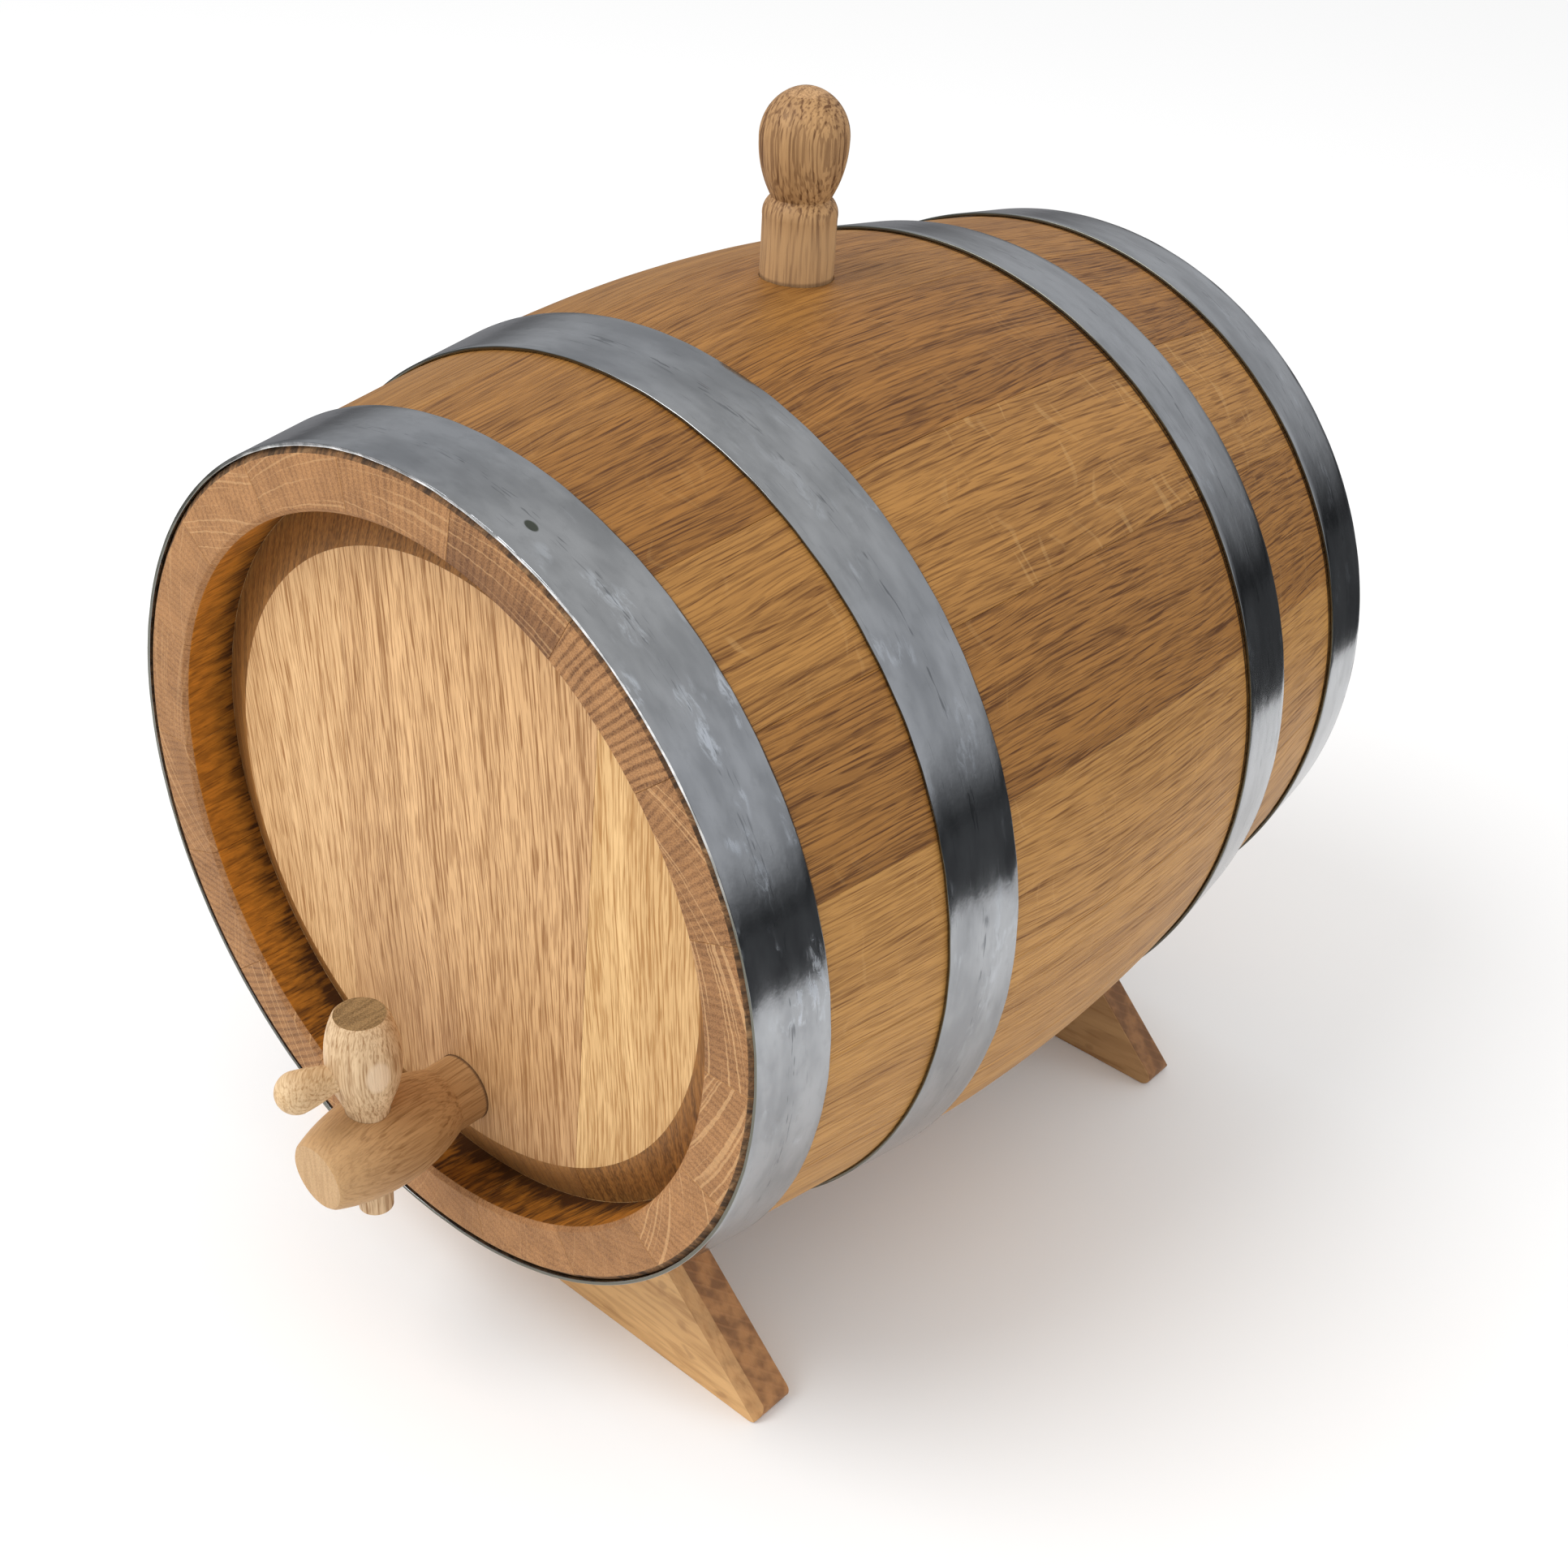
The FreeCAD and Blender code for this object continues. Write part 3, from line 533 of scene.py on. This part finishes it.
class Finish:
    """A material being made, with one method that adds any node to it."""

    def __init__(self, name):
        self.material = bpy.data.materials.new(name)
        self.material.use_nodes = True
        self.tree = self.material.node_tree
        self.shader = self.tree.nodes["Principled BSDF"]

    def node(self, kind, settings, sockets, output=0):
        made = self.tree.nodes.new(kind)
        for key, value in settings.items():
            setattr(made, key, value)
        for key, value in sockets.items():
            self.feed(made.inputs[key], value)
        return Value(self, made.outputs[output])

    def feed(self, socket, value):
        if isinstance(value, Value):
            self.tree.links.new(value.socket, socket)
        else:
            socket.default_value = value

    def math(self, operation, *operands):
        return self.node("ShaderNodeMath", {"operation": operation}, dict(enumerate(operands)))

    def attribute(self, name, output="Fac"):
        return self.node("ShaderNodeAttribute", {"attribute_name": name}, {}, output)

    def place(self):
        return self.node("ShaderNodeTexCoord", {}, {}, "Object")

    def turned(self, vector, degrees, centre):
        """Coordinates moved to a centre and then turned by angles about X, Y and Z."""
        moved = self.node("ShaderNodeVectorMath", {"operation": "SUBTRACT"}, {0: vector, 1: centre})
        angles = [math.radians(degree) for degree in degrees]
        return self.node("ShaderNodeMapping", {}, {"Vector": moved, "Rotation": angles})

    def scaled(self, vector, scale):
        return self.node("ShaderNodeVectorMath", {"operation": "MULTIPLY"}, {0: vector, 1: scale})

    def shifted(self, vector, offset):
        return self.node("ShaderNodeVectorMath", {"operation": "ADD"}, {0: vector, 1: offset})

    def parts(self, vector):
        """The three numbers of a vector."""
        split = self.node("ShaderNodeSeparateXYZ", {}, {0: vector})
        return [Value(self, socket) for socket in split.socket.node.outputs]

    def noise(self, vector, size, detail, roughness=0.5, distortion=0.0, output=0):
        """Noise whose blotches are about size metres long in each of the three directions."""
        stretch = tuple(1 / s for s in size)
        return self.node("ShaderNodeTexNoise", {"noise_dimensions": "3D"},
                         {"Vector": self.scaled(vector, stretch), "Scale": 1.0, "Detail": detail,
                          "Roughness": roughness, "Distortion": distortion}, output)

    def mixed(self, factor, a, b):
        """Colour a where factor is 0 and colour b where it is 1."""
        return self.node("ShaderNodeMix", {"data_type": "RGBA"}, {0: factor, 6: a, 7: b}, 2)

    def bump(self, height, distance, strength):
        sockets = {"Height": height, "Distance": distance, "Strength": strength}
        return self.node("ShaderNodeBump", {}, sockets)

    def surface(self, **sockets):
        """Feeds the shader's sockets, named here with underscores for spaces, and gives the material."""
        for name, value in sockets.items():
            self.feed(self.shader.inputs[name.replace("_", " ")], value)
        return self.material


def rgb(red, green, blue):
    """A colour as the eye reads it on a screen, 0 to 255, turned into linear light."""
    return tuple((c / 255 / 12.92 if c <= 10 else ((c / 255 + 0.055) / 1.055) ** 2.4)
                 for c in (red, green, blue)) + (1.0,)


# Oak

def oak_face(finish, grain, pale, dark, streaks, sheet=6.0, scale=1.0):
    """Colour, height and line mask of oak cut along its fibres, which run along the grain's Y.

    Slow noise bends the fibres. Over a drift of tone lie the early wood's lines, a sine wave across the
    fibres with an uneven step that breaks off now and then, and short dark pores and a fine fibre. sheet
    says how much longer a mark is into the wood than across it, because growth rings are sheets.
    """
    bend = finish.noise(grain, (0.030, 0.090, 0.030), 1.0, output="Color")
    bend = finish.scaled(finish.shifted(bend, (-0.5, -0.5, -0.5)), (0.007, 0.0, 0.007))
    bent = finish.shifted(grain, bend)

    def marks(width, length, detail, low, high):
        """Marks about width by length on a face, 0 where their noise is below low and 1 above high."""
        size = (width * scale, length * scale, width * scale * sheet)
        return finish.noise(bent, size, detail, 0.6).between(low, high)

    across, _, below = finish.parts(bent)
    step = finish.noise(bent, (0.0045 * scale, 0.080, 0.0045 * scale * sheet), 2.0, 0.6)
    wave = (across + below * (1 / sheet) + step * (0.0085 * scale)) * (2 * math.pi / (RING_STEP * scale))
    tone = marks(0.0060, 0.260, 2.0, 0.34, 0.66)
    breaks = marks(0.0012, 0.020, 1.0, 0.36, 0.58)
    lines = wave.math("SINE").between(0.25, 0.90) * (0.25 + 0.75 * breaks)
    pores = marks(0.00048, 0.014, 1.0, 0.50, 0.60)
    fibre = marks(0.00034, 0.006, 1.0, 0.30, 0.70)
    shade = tone * 0.28 + (lines * 0.48 + pores * 0.44 + fibre * 0.16) * streaks
    colour = finish.mixed(shade.clamped(), pale, dark)
    height = fibre * 0.25 - lines * 0.45 - pores * 0.8
    return colour, height, lines


def ray_flecks(finish, grain):
    """Pale ribbons that wander across the fibres in loose groups, where a face runs along the rays."""
    sway = finish.noise(grain, (0.018, 0.022, 0.03), 1.0, output="Color")
    swayed = finish.shifted(grain, finish.scaled(sway, (0.0, 0.022, 0.0)))
    ribbons = finish.noise(swayed, (0.016, 0.0017, 0.04), 0.0).between(0.62, 0.76)
    groups = finish.noise(grain, (0.022, 0.026, 0.06), 1.0).between(0.42, 0.66)
    return ribbons * groups


def make_stave_oak():
    """Oak of the staves: oiled outside, browner on the end grain, rough and dark inside the chime, with
    painted shade deepening into the chime and painted shadow beside the hoops' edges and on the chamfers
    under them.
    """
    finish = Finish("stave_oak")
    grain = finish.attribute("grain", "Vector")
    tree = finish.attribute("tree", "Vector")
    tone, streaks, fleck = finish.parts(finish.attribute("face_look", "Vector"))
    ringed, heart, end_tone = finish.parts(finish.attribute("end_look", "Vector"))
    end_cut, inside, shaded_chamfer = finish.parts(finish.attribute("cut", "Vector"))

    pale = finish.mixed(tone, rgb(194, 144, 78), rgb(156, 105, 46))
    dark = finish.mixed(tone, rgb(122, 78, 32), rgb(84, 48, 16))
    face, face_height, lines = oak_face(finish, grain, pale, dark, streaks)
    flecks = ray_flecks(finish, grain) * fleck
    face = finish.mixed((flecks * 0.45).clamped(), face, rgb(206, 164, 106))

    wander = finish.noise(tree, (0.008, 1.0, 0.008), 1.0, output="Color")
    tree = finish.shifted(tree, finish.scaled(wander, (0.0008, 0.0, 0.0008)))
    rays = finish.noise(tree, (0.080, 1.0, 0.0009), 0.0).between(0.60, 0.70)
    from_pith = finish.parts(tree)[0] + finish.noise(tree, (0.004, 1.0, 0.030), 1.0) * 0.0024
    years = (from_pith * (2 * math.pi / YEAR_STEP)).math("SINE").between(-0.30, 0.95)
    speckle = finish.noise(grain, (0.00045, 1.0, 0.00045), 1.0).between(0.44, 0.62)
    cloud = finish.noise(grain, (0.009, 1.0, 0.009), 2.0).between(0.36, 0.66)
    end_shade = years * (0.08 + 0.50 * ringed) + speckle * 0.30 + cloud * 0.16 + end_tone * 0.42 - 0.10
    end = finish.mixed(end_shade.clamped(), rgb(182, 133, 86), rgb(94, 58, 32))
    end = finish.mixed((heart * 0.50).clamped(), end, rgb(78, 46, 32))
    end = finish.mixed((rays * finish.attribute("rays") * 0.42).clamped(), end, rgb(226, 182, 130))

    _, y, z = finish.parts(finish.place())
    from_middle = (y - CENTRE.y).math("ABSOLUTE")
    from_end = HALF_LENGTH - from_middle
    # Painted shadow: dark lines on the staves just inside the wide edges of the hoops, where the strips stand
    # off the wood.
    hoop_edge_shadows = [1 - (from_middle - (edge - 0.4 * MM)).math("ABSOLUTE").between(0.25 * MM, 0.75 * MM)
            for edge in (BILGE_STRIP[0], HEAD_STRIP[0])]
    # Painted shade in the chime's recess, deepening towards the head; the wall is also darker towards the
    # bottom of the cask.
    deep = from_end.between(0.009, 0.019)
    low = 1 - z.between(CENTRE.z - 0.100, CENTRE.z - 0.055)
    smear = finish.noise(grain, (0.0030, 0.009, 0.02), 3.0, 0.6).between(0.34, 0.66)
    wall_shade = lines * 0.25 + smear * 0.45 + deep * 0.46 + low * 0.40
    wall = finish.mixed(wall_shade.clamped(), rgb(204, 132, 42), rgb(72, 40, 10))

    # Painted shadow beside the hoops' wide edges.
    face = finish.mixed((hoop_edge_shadows[0] + hoop_edge_shadows[1]) * 0.85, face, rgb(30, 20, 12))
    colour = finish.mixed(inside, finish.mixed(end_cut, face, end), wall)
    # Painted shadow on the chamfers under the hoops, varied by the smear.
    colour = finish.mixed(shaded_chamfer * (0.35 + 0.5 * smear), colour, rgb(34, 26, 18))
    end_height = rays * 0.4 + speckle * -0.9 + years * 0.4
    height = (face_height + flecks * 0.2) * (1 - end_cut) + end_height * end_cut
    rough = 0.48 + 0.10 * lines + 0.2 * end_cut + 0.15 * inside
    return finish.surface(Base_Color=colour, Roughness=rough, Specular_IOR_Level=0.3,
                          Normal=finish.bump(height, BUMP_DEPTH, 0.5))


def make_plain_oak(name, pale, dark, degrees, centre, streaks=1.0, sheet=6.0, scale=1.0, cut_tint=None,
                   cut_dark=None, fades=(), spot=None):
    """Planed or turned oak, with its fibres along Y once the coordinates are turned.

    Where the piece's cut attribute is 1 it takes the tint of cut fibres. Each fade names an axis and two
    places on it: towards the second the surface takes on a tint by an amount. spot is a pale oval: its
    middle in the piece's axis, its turn about Z, its half width and half height, its tint and its amount.
    """
    finish = Finish(name)
    grain = finish.turned(finish.place(), degrees, centre)
    colour, height, lines = oak_face(finish, grain, pale, dark, streaks, sheet, scale)
    if cut_tint is not None:
        speckle = finish.noise(grain, (0.0005, 1.0, 0.0005), 2.0).between(0.38, 0.64)
        years = finish.noise(grain, (0.0014, 1.0, 0.012), 1.0).between(0.42, 0.60)
        end = finish.mixed((speckle * 0.45 + years * 0.35).clamped(), cut_tint, cut_dark or dark)
        colour = finish.mixed(finish.attribute("cut"), colour, end)
    for axis, start, stop, tint, amount in fades:
        nearing = finish.parts(finish.place())[axis]
        nearing = nearing.between(start, stop) if start < stop else 1 - nearing.between(stop, start)
        colour = finish.mixed(nearing * amount, colour, tint)
    if spot is not None:
        middle, turn, half_width, half_height, tint, amount = spot
        out, beside, up = finish.parts(finish.turned(finish.place(), (0, 0, turn), middle))
        beside = beside * (1 / half_width)
        up = up * (1 / half_height)
        covered = (1 - (beside * beside + up * up).between(0.45, 1.0)) * out.between(0.0, 2 * MM)
        colour = finish.mixed(covered * amount, colour, tint)
    return finish.surface(Base_Color=colour, Roughness=0.56 + 0.1 * lines, Specular_IOR_Level=0.35,
                          Normal=finish.bump(height, BUMP_DEPTH, 0.5))


def make_cradle_oak():
    """Sawn oak: golden on the planed faces, browner on the bevels, with saw marks on the sloped ends and
    painted shade on the rear cradle.
    """
    finish = Finish("cradle_oak")
    place = finish.place()
    grain = finish.turned(place, (0, 0, 90), (0.0, 0.0, 0.0))
    face, height, lines = oak_face(finish, grain, rgb(218, 172, 114), rgb(150, 102, 56), 0.45, 3.0, 1.6)
    _, y, z = finish.parts(place)
    uneven = finish.noise(place, (0.006, 0.006, 0.006), 2.0)
    saw = ((z + y * 0.75 + uneven * 0.0012) * (2 * math.pi / SAW_STEP)).math("SINE").between(0.55, 1.0)
    knots = finish.noise(place, (0.010, 0.030, 0.007), 1.0).between(0.66, 0.74)
    cut = finish.attribute("cut")
    side = finish.mixed(uneven.between(0.35, 0.65), rgb(168, 118, 70), rgb(126, 84, 46))
    side = finish.mixed(saw * 0.22, side, rgb(176, 124, 78))
    face = finish.mixed(knots * 0.35, face, rgb(128, 82, 42))
    colour = finish.mixed(cut, face, side)
    # Painted shade: towards +Y the rear cradle is darkened.
    colour = finish.mixed(y.between(0.0, 0.05) * 0.35, colour, rgb(78, 46, 18))
    height = height * 0.6 + saw * cut * 0.8
    return finish.surface(Base_Color=colour, Roughness=0.58 + 0.08 * lines,
                          Normal=finish.bump(height, 0.00015, 0.5))


# Zinc

def make_zinc():
    """Galvanised strip: grey and half bright, with pale blooms, dark dashes along its middle, a cut edge with
    a painted highlight on one stretch.
    """
    finish = Finish("zinc_steel")
    strip = finish.attribute("strip", "Vector")
    across = finish.parts(strip)[1]
    edge, edge_highlight, weathered = finish.parts(finish.attribute("marks", "Vector"))
    cloud = finish.noise(strip, (0.030, 0.012, 1.0), 3.0, 0.55)
    mottle = finish.noise(strip, (0.0060, 0.0035, 1.0), 3.0, 0.6)
    flakes = finish.noise(strip, (0.0060, 0.0022, 1.0), 4.0, 0.65, 0.5).between(0.44, 0.62)
    bloom = finish.noise(strip, (0.020, 0.0085, 1.0), 2.0).between(0.55, 0.66) * flakes * weathered
    middle = 1 - (across - HOOP_MIDDLE).math("ABSOLUTE").between(0.0004, 0.0020)
    dashes = finish.noise(strip, (0.0060, 0.0007, 1.0), 1.0).between(0.58, 0.68) * middle
    scratches = finish.noise(strip, (0.0100, 0.00040, 1.0), 1.0).between(0.70, 0.77)
    stain = finish.attribute("dimple").between(0.0, 0.45)
    colour = finish.mixed(cloud.between(0.32, 0.68), rgb(146, 148, 151), rgb(172, 174, 177))
    colour = finish.mixed(mottle.between(0.50, 0.72) * 0.18, colour, rgb(120, 122, 124))
    colour = finish.mixed(bloom * 0.8, colour, rgb(222, 228, 236))
    colour = finish.mixed((dashes * 0.5 + scratches * 0.3).clamped(), colour, rgb(66, 70, 74))
    colour = finish.mixed(stain * 0.85, colour, rgb(52, 58, 38))
    # The edge's colour: near white where the painted highlight lies, dull grey elsewhere.
    cut = finish.mixed(mottle.between(0.40, 0.60), rgb(252, 252, 252), rgb(190, 192, 192))
    cut = finish.mixed(edge_highlight, rgb(112, 112, 102), cut)
    colour = finish.mixed(edge, colour, cut)
    rough = 0.07 + 0.12 * cloud + 0.05 * mottle + 0.25 * bloom + 0.10 * edge + 0.3 * stain
    height = cloud * 0.6 + mottle * 0.22 + flakes * bloom * 0.06 - scratches * 0.05
    return finish.surface(Base_Color=colour, Metallic=1.0, Roughness=rough,
                          Normal=finish.bump(height, 0.0005, 0.38))


def make_plain_metal(name, colour, roughness):
    """Plated steel of the rivets and screws, a little dull and uneven."""
    finish = Finish(name)
    dull = finish.noise(finish.place(), (0.002, 0.002, 0.002), 3.0)
    tint = finish.mixed(dull, colour, tuple(0.7 * c for c in colour[:3]) + (1.0,))
    return finish.surface(Base_Color=tint, Metallic=1.0, Roughness=roughness + 0.15 * dull)


# Setting

def make_camera():
    """Camera with the photograph's place, direction, roll and optical axis."""
    azimuth, down, roll = (math.radians(a) for a in (CAMERA_AZIMUTH, CAMERA_DOWN, CAMERA_ROLL))
    forward = Vector((-math.sin(azimuth) * math.cos(down), math.cos(azimuth) * math.cos(down),
                      -math.sin(down)))
    level_right = forward.cross(Vector((0, 0, 1))).normalized()
    level_up = level_right.cross(forward)
    right = level_right * math.cos(roll) + level_up * math.sin(roll)
    up = level_up * math.cos(roll) - level_right * math.sin(roll)
    data = bpy.data.cameras.new("camera")
    data.sensor_width = SENSOR_WIDTH
    data.lens = FOCAL_PIXELS / FRAME_PIXELS * SENSOR_WIDTH
    data.shift_x = (FRAME_PIXELS / 2 - AXIS_PIXEL_X) / FRAME_PIXELS
    data.shift_y = (AXIS_PIXEL_Y - FRAME_PIXELS / 2) / FRAME_PIXELS
    data.clip_start = 0.01
    camera = bpy.data.objects.new("camera", data)
    bpy.context.scene.collection.objects.link(camera)
    position = CENTRE + CAMERA_FROM_CASK
    camera.matrix_world = Matrix(((right.x, up.x, -forward.x, position.x),
                                  (right.y, up.y, -forward.y, position.y),
                                  (right.z, up.z, -forward.z, position.z), (0, 0, 0, 1)))
    bpy.context.scene.camera = camera


def make_lamp(name, place, size, power):
    """A round soft lamp that shines at the cask's centre."""
    data = bpy.data.lights.new(name, "AREA")
    data.shape = "DISK"
    data.size = size
    data.energy = power
    lamp = bpy.data.objects.new(name, data)
    bpy.context.scene.collection.objects.link(lamp)
    lamp.location = place
    lamp.rotation_euler = (CENTRE - Vector(place)).to_track_quat("-Z", "Y").to_euler()
    return lamp


def make_stage_mesh(name, vertices, faces):
    """A part of the studio, which isn't part of the object."""
    mesh = bpy.data.meshes.new(name)
    mesh.from_pydata(vertices, [], faces)
    piece = bpy.data.objects.new(name, mesh)
    bpy.context.scene.collection.objects.link(piece)
    return piece


def make_mirror_view(name, vertices, faces, light):
    """Something bright or dark that only reflections see, as a studio sets round polished metal."""
    piece = make_stage_mesh(name, vertices, faces)
    for ray in ("camera", "diffuse", "shadow", "transmission", "volume_scatter"):
        setattr(piece, "visible_" + ray, False)
    finish = Finish(name)
    finish.feed(finish.shader.inputs["Emission Strength"], 1.0)
    piece.data.materials.append(light(finish))
    finish.material.cycles.emission_sampling = "NONE"
    return piece


def table_edge_light(right):
    """Black towards the right, where the photograph's hoops mirror a dark band, grey towards the left."""
    darkening = right.between(-0.3, 0.4)
    return right.finish.mixed(darkening, (0.20, 0.20, 0.21, 1.0), (0.002, 0.003, 0.004, 1.0))


def tent_light(finish):
    """Light of the tent: black at the table's rim, pale above it, palest overhead and on the right."""
    x, _, z = finish.parts(finish.scaled(finish.place(), (1 / TENT_RADIUS,) * 3))
    shade = finish.mixed(z.between(0.0, 0.34), table_edge_light(x), (0.77, 0.785, 0.81, 1.0))
    shade = finish.mixed(z.between(0.55, 0.95), shade, (0.91, 0.91, 0.90, 1.0))
    shade = finish.mixed((0.82 + 0.13 * x).clamped(), BLACK, shade)
    return finish.surface(Base_Color=BLACK, Emission_Color=shade)


def rim_light(finish):
    """Light of the dark ring round the table, the same as at the foot of the tent."""
    x = finish.parts(finish.place())[0] * (1 / TABLE_RIM)
    return finish.surface(Base_Color=BLACK, Emission_Color=table_edge_light(x))


def make_studio():
    """A pale floor, an even pale sky, a large soft lamp above the front and a weaker one on the right.

    For reflections there is also a tent, a half sphere whose grid runs round and up to just short of its
    top, and on the floor a dark ring from the table's rim out to the tent.
    """
    bpy.context.scene.view_settings.view_transform = "Standard"
    world = bpy.data.worlds.new("sky")
    world.use_nodes = True
    background = world.node_tree.nodes["Background"]
    background.inputs["Color"].default_value = (1.0, 1.0, 1.0, 1.0)
    background.inputs["Strength"].default_value = SKY_STRENGTH
    bpy.context.scene.world = world
    corners = [(x * FLOOR_REACH, y * FLOOR_REACH, 0) for x, y in ((-1, -1), (1, -1), (1, 1), (-1, 1))]
    floor = make_stage_mesh("floor", corners, [(0, 1, 2, 3)])
    matt = Finish("floor").surface(Base_Color=(0.94, 0.94, 0.94, 1.0), Roughness=1.0, Specular_IOR_Level=0.0)
    floor.data.materials.append(matt)
    make_lamp("key", place=(-0.6, -1.3, 1.9), size=1.4, power=KEY_POWER)
    side = make_lamp("side", place=(1.9, 1.3, 0.9), size=0.9, power=SIDE_POWER)
    side.visible_glossy = False
    turn = np.linspace(0, 2 * math.pi, TENT_SIDES, endpoint=False)
    rise = np.linspace(0, 0.499 * math.pi, TENT_LEVELS)[:, None]
    tent = np.stack([np.cos(rise) * np.cos(turn), np.cos(rise) * np.sin(turn),
                     np.broadcast_to(np.sin(rise), (TENT_LEVELS, TENT_SIDES))], 2) * TENT_RADIUS
    make_mirror_view("tent", tent.reshape(-1, 3).tolist(),
                     tube_faces(TENT_LEVELS, TENT_SIDES).tolist(), tent_light)
    reach = np.array([TABLE_RIM, TENT_RADIUS])[:, None]
    ring = np.stack([reach * np.cos(turn), reach * np.sin(turn),
                     np.full((2, TENT_SIDES), TABLE_RIM_HEIGHT)], 2)
    make_mirror_view("table_rim", ring.reshape(-1, 3).tolist(),
                     tube_faces(2, TENT_SIDES).tolist(), rim_light)


# The cask

def paint(piece, material):
    """Gives a piece its one material."""
    piece.data.materials.clear()
    piece.data.materials.append(material)


def make_cask():
    """Staves from the bung's round towards +X, then two hoops at each end."""
    stave_oak = make_stave_oak()
    for index in range(STAVE_COUNT):
        paint(make_stave(index), stave_oak)
    zinc = make_zinc()
    for end, side in (("front", -1), ("rear", 1)):
        for kind, strip in (("head", HEAD_STRIP), ("bilge", BILGE_STRIP)):
            wide, narrow = (side * edge for edge in strip)
            seed = 3 + side + (kind == "bilge") * 5
            paint(make_hoop("%s_%s_hoop" % (end, kind), side, wide, narrow, seed), zinc)


def make_heads():
    """Three boards at each end, the right one creamier, with dark joints where their sides meet."""
    tones = {"left": (rgb(230, 188, 136), rgb(160, 112, 62)),
             "middle": (rgb(226, 182, 130), rgb(150, 104, 58)),
             "right": (rgb(236, 196, 138), rgb(176, 128, 72))}
    # The middle boards grow browner towards the bottom: on the front head partly painted shade from the tap,
    # partly dirt.
    browner_below = (2, CENTRE.z - 15 * MM, CENTRE.z - 90 * MM, rgb(150, 106, 62), 0.35)
    for end, turn in (("front", FRONT_HEAD_TURN), ("rear", REAR_HEAD_TURN)):
        for offset, (side, (pale, dark)) in enumerate(tones.items()):
            node = "%s_head_%s_board" % (end, side)
            piece = dressed_copy(node, "cask", 0.35 * MM)
            set_attribute(piece, "cut", "FLOAT", "FACE", face_directions(piece)[:, 1] < 0.985)
            middle = (0.4 * offset, 0, 0.3 * offset)
            paint(piece, make_plain_oak(node + "_oak", pale, dark, (90, 0, turn), middle, streaks=1.05,
                                        cut_tint=rgb(160, 110, 54), cut_dark=rgb(92, 58, 24),
                                        fades=(browner_below,) if side == "middle" else ()))


def make_tap_and_bung():
    """Turned wood: a brown tap body with a paler nose, a pale key with a dark top, a pale peg and a bung,
    with painted shade where the tap meets the head and round the bung's foot.
    """
    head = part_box("front_head_middle_board")[0].y
    surface = CENTRE.z + BILGE_RADIUS
    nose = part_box("tap_body")[0].y
    key_low, key_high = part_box("tap_key")
    # Painted shade: a dark ring on the tap body where it meets the head, and round the bung's foot where it
    # enters the stave.
    contact_shade = rgb(78, 52, 32)
    spot_middle = ((key_low.x + key_high.x) / 2, (key_low.y + key_high.y) / 2, key_high.z - 15.4 * MM)
    body = make_plain_oak("tap_body_oak", rgb(188, 146, 98), rgb(134, 94, 52), (0, 0, 0), (0.02, 0.0, 0.03),
                          streaks=0.7, sheet=1.5, cut_tint=rgb(194, 159, 118),
                          fades=((1, nose + 22 * MM, nose, rgb(208, 170, 122), 0.45),
                                 (1, head - 1.2 * MM, head - 0.2 * MM, contact_shade, 0.8)))
    key = make_plain_oak("tap_key_oak", rgb(226, 196, 156), rgb(158, 120, 80), (90, 0, 0), (0.01, 0.02, 0.03),
                         streaks=0.8, sheet=1.5, cut_tint=rgb(158, 128, 86), cut_dark=rgb(94, 70, 40),
                         spot=(spot_middle, 16, 4.2 * MM, 6.2 * MM, rgb(228, 202, 170), 0.75))
    peg = make_plain_oak("tap_peg_oak", rgb(226, 196, 154), rgb(166, 128, 84), (0, 0, -40), (0.0, 0.0, 0.03),
                         streaks=0.7, sheet=1.5, cut_tint=rgb(220, 188, 144))
    bung = make_plain_oak("bung_oak", rgb(188, 146, 98), rgb(104, 68, 36), (90, 0, 0), (0.02, 0.0, 0.03),
                          streaks=0.95, sheet=1.5, scale=1.5, cut_tint=rgb(196, 154, 108),
                          fades=((2, surface + 22 * MM, surface + 10 * MM, rgb(206, 168, 124), 0.40),
                                 (2, surface + 0.9 * MM, surface, contact_shade, 0.5)))
    for node, rider, material, axis in (("tap_body", "cask", body, 1), ("tap_key", "tap_key", key, 2),
                                        ("tap_peg", "tap_key", peg, 1), ("bung", "bung", bung, 2)):
        piece = dressed_copy(node, rider, 0.25 * MM)
        set_attribute(piece, "cut", "FLOAT", "FACE", face_directions(piece)[:, axis] > 0.85)
        paint(piece, material)


def make_cradles():
    """Two boards whose planed faces look along the cask, whose bevels lean and whose ends are sawn."""
    material = make_cradle_oak()
    for node in ("front_cradle", "rear_cradle"):
        piece = dressed_copy(node, "cask", 0.5 * MM)
        lengthwise = face_directions(piece)[:, 1]
        sawn = np.where(lengthwise > 0.9, 0.0, np.where(lengthwise > 0.3, 0.5, 1.0))
        set_attribute(piece, "cut", "FLOAT", "FACE", sawn)
        paint(piece, material)


def make_fastenings():
    """The frame's own rivets, screws and dowels, shown with better materials."""
    rivet = make_plain_metal("rivet_zinc", rgb(150, 152, 156), 0.4)
    screw = make_plain_metal("screw_steel", rgb(176, 170, 150), 0.35)
    dowel = make_plain_oak("dowel_oak", rgb(222, 190, 148), rgb(150, 108, 68), (0, 0, 90), (0, 0, 0))
    for node, material in (("hoop_rivets", rivet), ("cradle_screws", screw), ("front_head_dowels", dowel),
                           ("rear_head_dowels", dowel)):
        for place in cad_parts[node].material_slots:
            place.link = "OBJECT"
            place.material = material


make_camera()
make_studio()
make_cask()
make_heads()
make_tap_and_bung()
make_cradles()
make_fastenings()
